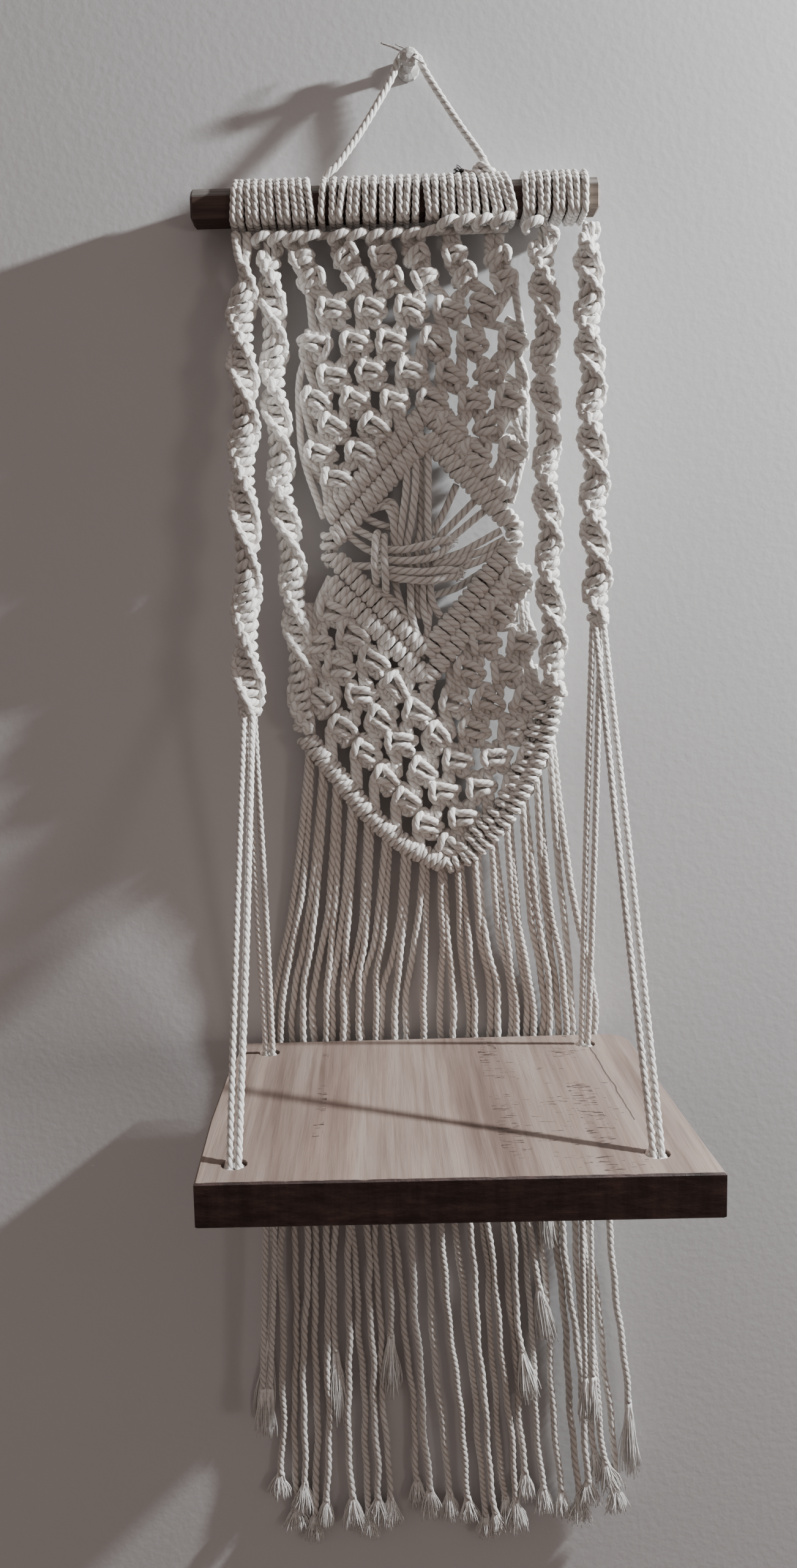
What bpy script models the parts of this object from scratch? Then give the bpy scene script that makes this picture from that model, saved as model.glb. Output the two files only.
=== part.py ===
"""Macrame plant hanger: a knotted cotton panel on a wooden bar, with a rope-hung shelf board.

Frame: origin at the middle of the wall peg's back face, wall in the plane y = 0, front towards -Y,
+Z up, metres. The panel hangs down the wall, four knotted bands carry the board, and the fringe
passes behind the board.
"""
import math

import bmesh
import bpy
from mathutils import Matrix, Vector

# ---- cord and clearances ----
CORD = 0.0040            # diameter of the three-ply cotton cord
ROPE = 0.0036            # diameter of the same cord where the board's weight stretches it
GAP = 0.0003             # clearance between neighbouring pieces

# ---- wall peg ----
PEG_FLANGE_R = 0.0056
PEG_FLANGE_T = 0.0020
PEG_SHANK_R = 0.0026
PEG_SHANK_END = 0.0125
PEG_HEAD_R = 0.0048
PEG_HEAD_T = 0.0032
PEG_SIDES = 12

# ---- bar ----
BAR_LEFT = -0.1080
BAR_RIGHT = 0.0920
BAR_BACK = -0.0065
BAR_FRONT = -0.0210
BAR_TOP = -0.0610        # at the left end
BAR_BOTTOM = -0.0762
BAR_SLOPE = 0.0163       # the bar hangs a little higher on the right
BAR_WANE = 0.0040        # waney top front edge
BAR_EDGE = 0.0012        # rounding of the sawn ends

# ---- cord turns round the bar: left end and right end of each group, and its turns ----
WRAP_GROUPS = (
    # left, right, turns
    (-0.0892, -0.0474, 11),
    (-0.0414, 0.0034, 11),
    (0.0058, 0.0332, 7),
    (0.0382, 0.0518, 4),
    (0.0532, 0.0860, 9),
)
WRAP_VALLEY = 0.0025     # cord surface above the bar between two turns
TIE_LEFT_X = -0.0444     # the hanging cord's own turn, left and right
TIE_RIGHT_X = 0.0357

# ---- hanging cord ----
KNOT_HALF = (0.0075, 0.0046, 0.0042)

# ---- knotted bands, top to bottom: x, y, z of the centre line ----
BANDS = {
    # name: (centre line, knots' width, knots' depth, length of half a turn, neck at the top)
    "sennit_outer_left": (
        ((-0.0838, -0.0170, -0.0811), (-0.0843, -0.0310, -0.1600),
         (-0.0847, -0.0425, -0.2350), (-0.0846, -0.0530, -0.3150)),
        0.0150, 0.0092, 0.0340, 0.0130),
    "sennit_inner_left": (
        ((-0.0700, -0.0170, -0.0805), (-0.0698, -0.0190, -0.1500), (-0.0672, -0.0185, -0.2110),
         (-0.0632, -0.0175, -0.2580), (-0.0622, -0.0165, -0.2930), (-0.0610, -0.0140, -0.3264)),
        0.0146, 0.0092, 0.0310, 0.0040),
    "sennit_inner_right": (
        ((0.0640, -0.0170, -0.0784), (0.0642, -0.0190, -0.1520), (0.0652, -0.0185, -0.2130),
         (0.0664, -0.0172, -0.2600), (0.0695, -0.0140, -0.3100)),
        0.0150, 0.0092, 0.0270, 0.0030),
    "sennit_outer_right": (
        ((0.0868, -0.0170, -0.0785), (0.0850, -0.0275, -0.1250),
         (0.0853, -0.0375, -0.2010), (0.0855, -0.0470, -0.2745)),
        0.0160, 0.0096, 0.0220, 0.0030),
}
BAND_RING = 0.0052       # one knot's height along a band
BAND_SIDES = 6

# ---- knotted panel ----
PANEL_TOP_Z = -0.0860
PANEL_TOP_Y = -0.0155    # the panel's middle plane leans back to the wall as it goes down
PANEL_LOW_Z = -0.4000
PANEL_LOW_Y = -0.0110
SHEET_BACK = 0.0036      # back of the cords behind the middle plane
LEG_FRONT = 0.0022       # front of the cords between two knots
KNOT_FRONT = 0.0052      # front of a knot
NET_HALF_W = 0.0064      # half a knot's width and height in the net
NET_HALF_H = 0.0078
TAIL_SPLAY = 0.0035      # how far a cord pair splays between a knot and a bar
TAIL_LONGEST = 0.0220
HEADER = ((-0.0575, -0.0829), (0.0460, -0.0812))
HEADER_SPLAY = 0.0010
FIRST_ROW_Z = -0.0970
FIRST_ROW_X = (-0.0535, -0.0310, -0.0140, 0.0025, 0.0200, 0.0420)
UPPER_ROWS = (
    # z, x of the first knot, knots in the row
    (-0.1165, -0.0412, 5), (-0.1335, -0.0488, 6), (-0.1485, -0.0412, 5),
    (-0.1620, -0.0488, 6), (-0.1750, -0.0412, 5), (-0.1880, -0.0488, 6),
)
UPPER_PITCH = 0.0194
UPPER_SIDE = 0.0520
LOWER_ROW_Z = -0.2560    # height of the lower net's first row at x = 0, and its rise to the right
LOWER_STEP = 0.0152
LOWER_RISE = 0.2
LOWER_LEVEL_X = 0.0180   # the rows are level to the right of here
LOWER_ROWS = 10
LOWER_PITCH = 0.0190
LOWER_CENTRE = -0.0069
LOWER_DRIFT = 0.0012     # each row lies a little further right than the one above
LOWER_LEFT = -0.0455
LOWER_RIGHT = 0.0530
RIDGED_ROWS = 3          # every third row of the nets has ridged knots, the rest plain ones

# ---- hitched bars of the diamond: ends in x and z ----
HITCH = 0.0050           # pitch of the hitches along a bar
BAR_HALF = 0.0044        # half the bar's width
DIAMOND = {
    # name: (x, z) of the middle, (x, z) of the left end, (x, z) of the right end
    "upper_outer": ((0.0056, -0.1665), (-0.0455, -0.2180), (0.0465, -0.2120)),
    "upper_inner": ((0.0053, -0.1795), (-0.0425, -0.2290), (0.0485, -0.2235)),
    "lower_inner": ((0.0034, -0.2880), (-0.0420, -0.2390), (0.0490, -0.2330)),
    "lower_outer": ((0.0032, -0.3010), (-0.0455, -0.2510), (0.0525, -0.2440)),
}

# ---- hem: the hitched bar at the panel's lower edge, left end to right end, x and z ----
HEM = ((-0.0600, -0.3300), (-0.0440, -0.3505), (-0.0280, -0.3710), (-0.0085, -0.3885),
       (0.0120, -0.3990), (0.0250, -0.3935), (0.0450, -0.3730), (0.0620, -0.3410), (0.0705, -0.3120))
HEM_HALF = 0.0046

# ---- shelf board ----
BOARD_TOP = -0.4940
BOARD_T = 0.0190
BOARD_OUTLINE = (
    # x, y round the top face from the rear left corner
    (-0.0990, -0.0095), (-0.1018, -0.0600), (-0.1022, -0.1130), (-0.1003, -0.1755),
    (0.1120, -0.1795), (0.1108, -0.1500), (0.1096, -0.1100), (0.1085, -0.0600),
    (0.1072, -0.0210), (0.1045, -0.0130), (0.0975, -0.0095),
)
BOARD_EDGE = 0.0008
HOLE_R = 0.0056
HOLE_SIDES = 14
HOLES = {
    "front_left": (-0.0860, -0.1585),
    "rear_left": (-0.0833, -0.0255),
    "front_right": (0.0888, -0.1595),
    "rear_right": (0.0826, -0.0245),
}
STOP_KNOT = (0.0064, 0.0095)   # half width and length of the knot under the board
TAIL_END = {"front": -0.5250, "rear": -0.7120}
TAIL_LEAN = {"left": -0.0080, "right": 0.0020}

# ---- fringe: one row for each strand ----
FRINGE = (
    # x at the board, x at the end, z of the end
    (-0.0827, -0.0930, -0.722), (-0.0775, -0.0880, -0.764), (-0.0719, -0.0800, -0.786),
    (-0.0660, -0.0740, -0.775), (-0.0604, -0.0690, -0.794), (-0.0547, -0.0620, -0.786),
    (-0.0503, -0.0555, -0.722), (-0.0460, -0.0475, -0.784), (-0.0418, -0.0390, -0.792),
    (-0.0376, -0.0320, -0.782), (-0.0334, -0.0245, -0.785), (-0.0282, -0.0205, -0.706),
    (-0.0232, -0.0095, -0.772), (-0.0174, -0.0020, -0.779), (-0.0103, 0.0100, -0.781),
    (-0.0019, 0.0200, -0.783), (0.0080, 0.0290, -0.793), (0.0155, 0.0350, -0.790),
    (0.0222, 0.0410, -0.786), (0.0275, 0.0465, -0.788), (0.0338, 0.0520, -0.770),
    (0.0400, 0.0525, -0.709), (0.0450, 0.0625, -0.778), (0.0495, 0.0602, -0.675),
    (0.0540, 0.0725, -0.781), (0.0585, 0.0656, -0.618), (0.0628, 0.0825, -0.785),
    (0.0670, 0.0880, -0.773), (0.0712, 0.0930, -0.760), (0.0755, 0.0985, -0.765),
    (0.0797, 0.1045, -0.778), (0.0900, 0.1130, -0.756),
)
FRINGE_R = 0.0021
FRINGE_Y = (-0.0030, -0.0056)   # the two layers that hang behind the board
ROOT_SCALE = 0.74               # strands start closer together at the hem
ROOT_SHIFT = 0.0030
TASSEL_LENGTH = 0.024
TASSEL_R = 0.0030

# ---- woven middle of the diamond: start and end of each strand ----
WEAVE = (
    # x, y in front of the panel's plane, z of the start, then of the end
    (-0.0190, -0.0010, -0.2060, -0.0165, 0.0010, -0.2700),
    (-0.0125, 0.0000, -0.1990, -0.0110, 0.0020, -0.2760),
    (-0.0065, 0.0010, -0.1930, -0.0060, 0.0020, -0.2800),
    (0.0000, 0.0010, -0.1890, -0.0005, 0.0010, -0.2850),
    (0.0060, 0.0000, -0.1860, 0.0055, 0.0010, -0.2850),
    (-0.0360, 0.0010, -0.2250, 0.0190, 0.0040, -0.2320),
    (-0.0360, 0.0010, -0.2300, 0.0200, 0.0040, -0.2375),
    (-0.0340, 0.0010, -0.2400, 0.0190, 0.0040, -0.2430),
    (-0.0330, 0.0010, -0.2450, 0.0170, 0.0040, -0.2485),
    (0.0100, 0.0020, -0.2440, 0.0430, 0.0000, -0.2290),
    (0.0080, 0.0020, -0.2380, 0.0420, 0.0000, -0.2250),
    (-0.0213, 0.0036, -0.2290, -0.0219, 0.0036, -0.2545),
    (-0.0162, 0.0036, -0.2290, -0.0166, 0.0036, -0.2550),
)
WEAVE_R = 0.0019

FRONT = Vector((0.0, -1.0, 0.0))
SIDEWAYS = Vector((1.0, 0.0, 0.0))
UP = Vector((0.0, 0.0, 1.0))


# ------------------------------------------------------------------ materials and objects
def material(name, colour, roughness):
    made = bpy.data.materials.new(name)
    made.use_nodes = True
    shader = made.node_tree.nodes["Principled BSDF"]
    shader.inputs["Base Color"].default_value = (*colour, 1.0)
    shader.inputs["Roughness"].default_value = roughness
    shader.inputs["Metallic"].default_value = 0.0
    return made


def add_object(name, shape, finish, parent=None):
    """Turn a bmesh into an object with its faces pointing out."""
    bmesh.ops.recalc_face_normals(shape, faces=shape.faces)
    mesh = bpy.data.meshes.new(name)
    shape.to_mesh(mesh)
    shape.free()
    made = bpy.data.objects.new(name, mesh)
    bpy.context.scene.collection.objects.link(made)
    made.data.materials.append(finish)
    made.parent = parent
    return made


def as_cutter(made):
    made.hide_render = True
    made.display_type = "WIRE"
    return made


def add_boolean(target, tool, operation, solver="EXACT"):
    step = target.modifiers.new(operation.lower() + "_" + tool.name, "BOOLEAN")
    step.operation = operation
    step.solver = solver
    step.object = tool


# ------------------------------------------------------------------ paths and sweeps
def smooth_path(points, step):
    """Read a smooth curve through the points, about one step apart."""
    points = [Vector(p) for p in points]
    ends = [2 * points[0] - points[1]] + points + [2 * points[-1] - points[-2]]
    path = [points[0]]
    for before, start, end, after in zip(ends, ends[1:], ends[2:], ends[3:]):
        count = max(1, round((end - start).length / step))
        for i in range(1, count + 1):
            t = i / count
            path.append(0.5 * (
                2 * start + (end - before) * t
                + (2 * before - 5 * start + 4 * end - after) * t ** 2
                + (3 * start - before - 3 * end + after) * t ** 3))
    return path


def frames(path, hint):
    """Across and depth directions at each point; with no hint they roll along the path."""
    result = []
    depth = None
    for i, point in enumerate(path):
        along = (path[min(i + 1, len(path) - 1)] - path[max(i - 1, 0)]).normalized()
        guide = hint if hint is not None else depth
        if guide is None:
            guide = SIDEWAYS if abs(along.x) < 0.9 else UP
        depth = (guide - along * guide.dot(along)).normalized()
        result.append((along.cross(depth), depth))
    return result


def sweep(shape, path, section, hint=FRONT):
    """Add a closed skin round the path; section(i) gives the (across, depth) points of ring i."""
    rings = []
    for i, (point, (across, depth)) in enumerate(zip(path, frames(path, hint))):
        rings.append([shape.verts.new(point + across * a + depth * d) for a, d in section(i)])
    for low, high in zip(rings, rings[1:]):
        for j in range(len(low)):
            k = (j + 1) % len(low)
            shape.faces.new((low[j], low[k], high[k], high[j]))
    shape.faces.new(rings[0])
    shape.faces.new(rings[-1])


def ellipse(half_across, half_depth, sides, turn=0.0):
    """Points of an ellipse whose own axes are turned by an angle."""
    points = []
    for j in range(sides):
        angle = 2 * math.pi * (j + 0.5) / sides
        a = half_across * math.cos(angle)
        d = half_depth * math.sin(angle)
        points.append((a * math.cos(turn) - d * math.sin(turn), a * math.sin(turn) + d * math.cos(turn)))
    return points


def panel_y(z):
    """Depth of the panel's middle plane at a height."""
    share = (PANEL_TOP_Z - z) / (PANEL_TOP_Z - PANEL_LOW_Z)
    return PANEL_TOP_Y + share * (PANEL_LOW_Y - PANEL_TOP_Y)


def on_panel(x, z, forward=0.0):
    return Vector((x, panel_y(z) - forward, z))


def height_on(line, x):
    """Height of a line of (x, z) points, left to right, at x."""
    if x <= line[0][0]:
        return line[0][1]
    for (x0, z0), (x1, z1) in zip(line, line[1:]):
        if x <= x1:
            return z0 + (z1 - z0) * (x - x0) / (x1 - x0)
    return line[-1][1]


def rise(x):
    """How much higher the bar hangs at x than at its left end."""
    return BAR_SLOPE * (x - BAR_LEFT)


def follow_slope(shape):
    for vert in shape.verts:
        vert.co.z += rise(vert.co.x)


# ------------------------------------------------------------------ peg, bar, cord turns
def make_peg(finish):
    """Turned peg: flange on the wall, shank, domed head."""
    head_back = -PEG_SHANK_END
    head_front = head_back - PEG_HEAD_T
    profile = (
        (PEG_FLANGE_R, 0.0), (PEG_FLANGE_R * 0.93, -PEG_FLANGE_T), (PEG_SHANK_R, -PEG_FLANGE_T * 1.2),
        (PEG_SHANK_R, head_back), (PEG_HEAD_R * 0.94, head_back - 0.0002),
        (PEG_HEAD_R, head_back - PEG_HEAD_T * 0.35), (PEG_HEAD_R * 0.72, head_front + 0.0005),
        (PEG_HEAD_R * 0.30, head_front),
    )
    shape = bmesh.new()
    rings = []
    for radius, y in profile:
        ring = []
        for j in range(PEG_SIDES):
            angle = 2 * math.pi * j / PEG_SIDES
            ring.append(shape.verts.new((radius * math.cos(angle), y, radius * math.sin(angle))))
        rings.append(ring)
    for back, front in zip(rings, rings[1:]):
        for j in range(PEG_SIDES):
            k = (j + 1) % PEG_SIDES
            shape.faces.new((back[j], back[k], front[k], front[j]))
    shape.faces.new(rings[0])
    shape.faces.new(rings[-1])
    return add_object("wall_peg", shape, finish)


def bar_section(offset, rounded):
    """The bar's five-cornered section grown by an offset, as (y, z) points."""
    corners = ((BAR_BACK, BAR_TOP), (BAR_FRONT + BAR_WANE, BAR_TOP), (BAR_FRONT, BAR_TOP - BAR_WANE),
               (BAR_FRONT, BAR_BOTTOM), (BAR_BACK, BAR_BOTTOM))
    corners = [Vector(c) for c in corners]
    points = []
    for before, corner, after in zip(corners[-1:] + corners, corners, corners[1:] + corners[:1]):
        edge_in = (corner - before).normalized()
        edge_out = (after - corner).normalized()
        normal_in = Vector((-edge_in.y, edge_in.x)) * -1
        normal_out = Vector((-edge_out.y, edge_out.x)) * -1
        middle = corner - Vector(((BAR_BACK + BAR_FRONT) / 2, (BAR_TOP + BAR_BOTTOM) / 2))
        if normal_in.dot(middle) < 0:
            normal_in, normal_out = -normal_in, -normal_out
        if rounded:
            points.append(corner + normal_in * offset)
            points.append(corner + normal_out * offset)
        else:
            mitre = (normal_in + normal_out).normalized()
            points.append(corner + mitre * (offset / mitre.dot(normal_in)))
    return points


def make_bar(finish):
    shape = bmesh.new()
    ring = [shape.verts.new((BAR_LEFT, y, z)) for y, z in bar_section(0.0, False)]
    face = shape.faces.new(ring)
    moved = bmesh.ops.extrude_face_region(shape, geom=[face])["geom"]
    far = [v for v in moved if isinstance(v, bmesh.types.BMVert)]
    bmesh.ops.translate(shape, verts=far, vec=(BAR_RIGHT - BAR_LEFT, 0, 0))
    ends = [e for e in shape.edges if abs(e.verts[0].co.x - e.verts[1].co.x) < 1e-6]
    bmesh.ops.bevel(shape, geom=ends, offset=BAR_EDGE, segments=1, affect="EDGES")
    follow_slope(shape)
    return add_object("top_bar", shape, finish)


def make_wraps(number, left, right, turns, finish):
    """A sleeve of cord turns: a ridge for each turn outside, the bar's own section inside."""
    shape = bmesh.new()
    crest = bar_section(CORD + GAP, True)
    valley = bar_section(WRAP_VALLEY + GAP, True)
    inside = bar_section(GAP, False)
    rings = []
    for i in range(2 * turns + 1):
        x = left + (right - left) * i / (2 * turns)
        points = crest if i % 2 else valley
        rings.append([shape.verts.new((x, y, z)) for y, z in points])
    for low, high in zip(rings, rings[1:]):
        for j in range(len(low)):
            k = (j + 1) % len(low)
            shape.faces.new((low[j], low[k], high[k], high[j]))
    bore = [[shape.verts.new((x, y, z)) for y, z in inside] for x in (left, right)]
    count = len(inside)
    for j in range(count):
        k = (j + 1) % count
        shape.faces.new((bore[0][j], bore[1][j], bore[1][k], bore[0][k]))
        for ring, rim in ((rings[0], bore[0]), (rings[-1], bore[1])):
            shape.faces.new((rim[j], rim[k], ring[2 * k], ring[2 * j + 1]))
            shape.faces.new((rim[j], ring[2 * j + 1], ring[2 * j]))
    follow_slope(shape)
    return add_object(f"bar_wraps_{number}", shape, finish)


def tie_turn(x, leave):
    """Route of the hanging cord round the bar, from its back up over its front and off its top."""
    reach = CORD / 2 + GAP
    corner = reach * 0.96
    side = 0.0030
    route = [
        # y, z from the back of the bar, round its lower corners and over the waney edge
        (BAR_BACK + reach, BAR_TOP - 0.0060), (BAR_BACK + reach, BAR_BOTTOM + side),
        (BAR_BACK + corner, BAR_BOTTOM - corner), (BAR_BACK - side, BAR_BOTTOM - reach),
        (BAR_FRONT + side, BAR_BOTTOM - reach), (BAR_FRONT - corner, BAR_BOTTOM - corner),
        (BAR_FRONT - reach, BAR_BOTTOM + side), (BAR_FRONT - reach, BAR_TOP - 2 * BAR_WANE),
        (BAR_FRONT - reach, BAR_TOP - BAR_WANE + reach * 0.41),
        (BAR_FRONT + BAR_WANE - reach * 0.41, BAR_TOP + reach),
    ]
    turn = [(x, y, z + rise(x)) for y, z in route]
    return turn + [(x + leave[0], BAR_FRONT + 0.0095, BAR_TOP + rise(x) + reach + leave[1])]


def make_hanging_cord(finish):
    """One cord tied round the bar left and right, laid over the peg's shank."""
    over = PEG_SHANK_R + CORD / 2 + GAP
    peg_y = -PEG_SHANK_END * 0.60
    left = tie_turn(TIE_LEFT_X, (0.0012, 0.0058))
    right = tie_turn(TIE_RIGHT_X, (0.0, 0.0052))
    loop = [
        (-0.0225, -0.0110, -0.0320), (-0.0082, peg_y, -0.0060), (-0.0042, peg_y, over - 0.0020),
        (0.0, peg_y, over), (0.0042, peg_y, over - 0.0020), (0.0080, peg_y, -0.0055),
        (0.0215, -0.0110, -0.0320),
    ]
    route = left + loop + right[::-1]
    path = smooth_path(route, 0.0075)
    shape = bmesh.new()
    section = ellipse(CORD / 2, CORD / 2, 5)
    sweep(shape, path, lambda i: section, hint=None)
    cord = add_object("hanging_cord", shape, finish)
    knot = bmesh.new()
    middle = Vector((TIE_RIGHT_X, right[-1][1], BAR_TOP + rise(TIE_RIGHT_X) + CORD + 2 * GAP + KNOT_HALF[1]))
    count = 6
    path = [middle + SIDEWAYS * KNOT_HALF[0] * (2 * i / count - 1) for i in range(count + 1)]

    def lump(i):
        share = math.sqrt(max(0.12, 1 - (2 * i / count - 1) ** 2)) * (1.0 if i % 2 else 0.84)
        return ellipse(KNOT_HALF[1] * share, KNOT_HALF[2] * share, 8)

    sweep(knot, path, lump)
    add_boolean(cord, as_cutter(add_object("cord_knot", knot, finish)), "UNION")
    return cord


# ------------------------------------------------------------------ knotted bands
def make_band(name, spec, finish):
    """A band of half knots: a flat ridged section that turns as it goes down."""
    line, width, depth, half_turn, neck = spec
    path = smooth_path(line, BAND_RING)
    fallen = [0.0]
    for above, below in zip(path, path[1:]):
        fallen.append(fallen[-1] + (below - above).length)

    def section(i):
        ridge = 1.0 if i % 2 else 0.80
        if fallen[i] < neck:
            ridge = 0.55
        near_end = min(1.0, 0.62 + (fallen[-1] - fallen[i]) / 0.016)
        turn = math.pi * fallen[i] / half_turn
        return ellipse(width / 2 * ridge * near_end, depth / 2 * ridge, BAND_SIDES, turn)

    shape = bmesh.new()
    sweep(shape, path, section)
    return add_object(name, shape, finish)


# ------------------------------------------------------------------ the net of square knots
class Net:
    """A flat net of knots and cord pairs, built as one skin and then given its thickness."""

    CORNERS = {
        # place on a knot: share of the half width, share of the half height
        "top": (0.0, 1.0), "right": (1.0, 0.0), "bottom": (0.0, -1.0), "left": (-1.0, 0.0),
        "top_right": (0.56, 0.56), "bottom_right": (0.56, -0.56),
        "bottom_left": (-0.56, -0.56), "top_left": (-0.56, 0.56), "middle": (0.0, 0.0),
    }
    RING = ("top", "top_right", "right", "bottom_right", "bottom", "bottom_left", "left", "top_left")

    def __init__(self):
        self.shape = bmesh.new()
        self.knots = {}

    def add_knot(self, key, x, z, ridged):
        corners = {}
        for place, (across, up) in self.CORNERS.items():
            lift = LEG_FRONT
            if place == "middle":
                lift = KNOT_FRONT * 0.62 if ridged else KNOT_FRONT
            elif "_" in place:
                lift = KNOT_FRONT if ridged else KNOT_FRONT * 0.72
            spot = on_panel(x + across * NET_HALF_W, z + up * NET_HALF_H, lift)
            corners[place] = self.shape.verts.new(spot)
        for here, after in zip(self.RING, self.RING[1:] + self.RING[:1]):
            self.shape.faces.new((corners[here], corners[after], corners["middle"]))
        self.knots[key] = corners

    def side(self, key, down, right):
        """The three points of a knot's slanting side."""
        level = "bottom" if down else "top"
        hand = "right" if right else "left"
        knot = self.knots[key]
        return [knot[level], knot[f"{level}_{hand}"], knot[hand]]

    def join(self, upper, lower, right):
        """A pair of cords from a knot down to the next row's knot on its right or left."""
        start = self.side(upper, True, right)
        end = self.side(lower, False, not right)[::-1]
        self.strip(start, end)

    def tail(self, key, right, target, down=True, splay=TAIL_SPLAY):
        """A pair of cords from a knot to the height target(x) of whatever holds it."""
        start = self.side(key, down, right)
        spread = splay if right else -splay
        ends = []
        for vert, share in zip(start, (0.15, 0.5, 0.9)):
            x = vert.co.x + share * spread
            ends.append((x, target(x)))
        far = max(abs(z - start[1].co.z) for x, z in ends)
        near = min((start[1].co.z - z) * (1 if down else -1) for x, z in ends)
        if far < TAIL_LONGEST and near > 0:
            self.strip(start, [self.shape.verts.new(on_panel(x, z, LEG_FRONT)) for x, z in ends])

    def strip(self, start, end):
        for j in range(2):
            self.shape.faces.new((start[j], start[j + 1], end[j + 1], end[j]))

    def thicken(self):
        """Give the skin its flat back and its sides."""
        shape = self.shape
        front = list(shape.faces)
        rim = [e for e in shape.edges if len(e.link_faces) == 1]
        twin = {}
        for vert in list(shape.verts):
            twin[vert] = shape.verts.new(on_panel(vert.co.x, vert.co.z, -SHEET_BACK))
        back = []
        for face in front:
            back.append(shape.faces.new([twin[v] for v in reversed(face.verts)]))
        for edge in rim:
            a, b = edge.verts
            shape.faces.new((a, b, twin[b], twin[a]))
        inner = [e for e in shape.edges if all(f in back for f in e.link_faces)]
        bmesh.ops.dissolve_limit(shape, angle_limit=0.01, edges=inner,
                                 verts=list({v for f in back for v in f.verts}))
        return shape


def bar_height(name, x):
    """Height of a diamond bar's centre line at x."""
    middle, left, right = DIAMOND[name]
    return height_on((left, middle, right), x)


def hem_top(x):
    """Height just above the hem at x."""
    slope = (height_on(HEM, x + 0.001) - height_on(HEM, x - 0.001)) / 0.002
    return height_on(HEM, x) + HEM_HALF * math.hypot(1.0, slope) + 3 * GAP


def make_upper_net():
    """First row of knots under the bar, then the net down to the diamond's upper bars."""
    net = Net()
    for number, x in enumerate(FIRST_ROW_X):
        net.add_knot(("first", number), x, FIRST_ROW_Z, True)
        for right in (False, True):
            net.tail(("first", number), right, lambda x: height_on(HEADER, x), down=False, splay=HEADER_SPLAY)
    rows = []
    for row, (z, first, count) in enumerate(UPPER_ROWS):
        placed = {}
        for i in range(count):
            x = first + i * UPPER_PITCH
            if z > bar_height("upper_outer", x) + 0.0150:
                number = 2 * i + (1 if row % 2 == 0 else 0)
                net.add_knot((row, number), x, z, row % RIDGED_ROWS == 0)
                placed[number] = x
        rows.append(placed)
    for number, target in enumerate(sorted(rows[0])):
        net.join(("first", number), (0, target), True)
        net.join(("first", number + 1), (0, target), False)
    for row in range(len(rows) - 1):
        link_rows(net, row, rows[row], rows[row + 1])
    for row, placed in enumerate(rows):
        below = rows[row + 1] if row + 1 < len(rows) else {}
        for number in placed:
            for right in (False, True):
                x = placed[number] + (UPPER_PITCH / 2 if right else -UPPER_PITCH / 2)
                if number + (1 if right else -1) not in below and abs(x) < UPPER_SIDE:
                    net.tail((row, number), right, lambda x: bar_height("upper_outer", x))
    return net.thicken()


def link_rows(net, row, above, below):
    for number in above:
        if number + 1 in below:
            net.join((row, number), (row + 1, number + 1), True)
        if number - 1 in below:
            net.join((row, number), (row + 1, number - 1), False)


def make_lower_net():
    """The net between the diamond's lower bars and the hem."""
    net = Net()
    rows = []
    for row in range(LOWER_ROWS):
        placed = {}
        for number in range(-6, 7):
            x = LOWER_CENTRE + row * LOWER_DRIFT + number * LOWER_PITCH / 2
            if (number + row) % 2 or not LOWER_LEFT <= x <= LOWER_RIGHT:
                continue
            z = LOWER_ROW_Z - row * LOWER_STEP + LOWER_RISE * min(x, LOWER_LEVEL_X)
            clear_above = z < bar_height("lower_outer", x) - 0.0150
            clear_below = z > height_on(HEM, x) + 0.0140
            if clear_above and clear_below:
                net.add_knot((row, number), x, z, row % RIDGED_ROWS == 1)
                placed[number] = x
        rows.append(placed)
    for row in range(LOWER_ROWS - 1):
        link_rows(net, row, rows[row], rows[row + 1])
    for row, placed in enumerate(rows):
        above = rows[row - 1] if row else {}
        below = rows[row + 1] if row + 1 < LOWER_ROWS else {}
        for number, x in placed.items():
            for right in (False, True):
                step = 1 if right else -1
                inside = LOWER_LEFT - 0.004 < x + step * LOWER_PITCH / 2 < LOWER_RIGHT + 0.006
                if number + step not in above and inside:
                    net.tail((row, number), right, lambda x: bar_height("lower_outer", x), down=False)
                if number + step not in below and inside:
                    net.tail((row, number), right, hem_top)
    return net.thicken()


# ------------------------------------------------------------------ hitched bars
def hitched_bar(line, half_width, front, back, pitch):
    """A bar of hitches: ridges over the front, flat behind, along a line of (x, z) points."""
    path = smooth_path([on_panel(x, z) for x, z in line], pitch / 2)

    def section(i):
        ridge = 1.0 if i % 2 else 0.74
        wide = half_width * (1.0 if i % 2 else 0.90)
        return ((-wide, -back), (wide, -back), (wide * 0.92, front * 0.45 * ridge),
                (0.0, front * ridge), (-wide * 0.92, front * 0.45 * ridge))

    shape = bmesh.new()
    sweep(shape, path, section)
    return shape


def strand(points, radius, sides, step):
    """A plain strand through the points."""
    shape = bmesh.new()
    section = ellipse(radius, radius, sides)
    sweep(shape, smooth_path(points, step), lambda i: section, hint=None)
    return shape


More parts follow.
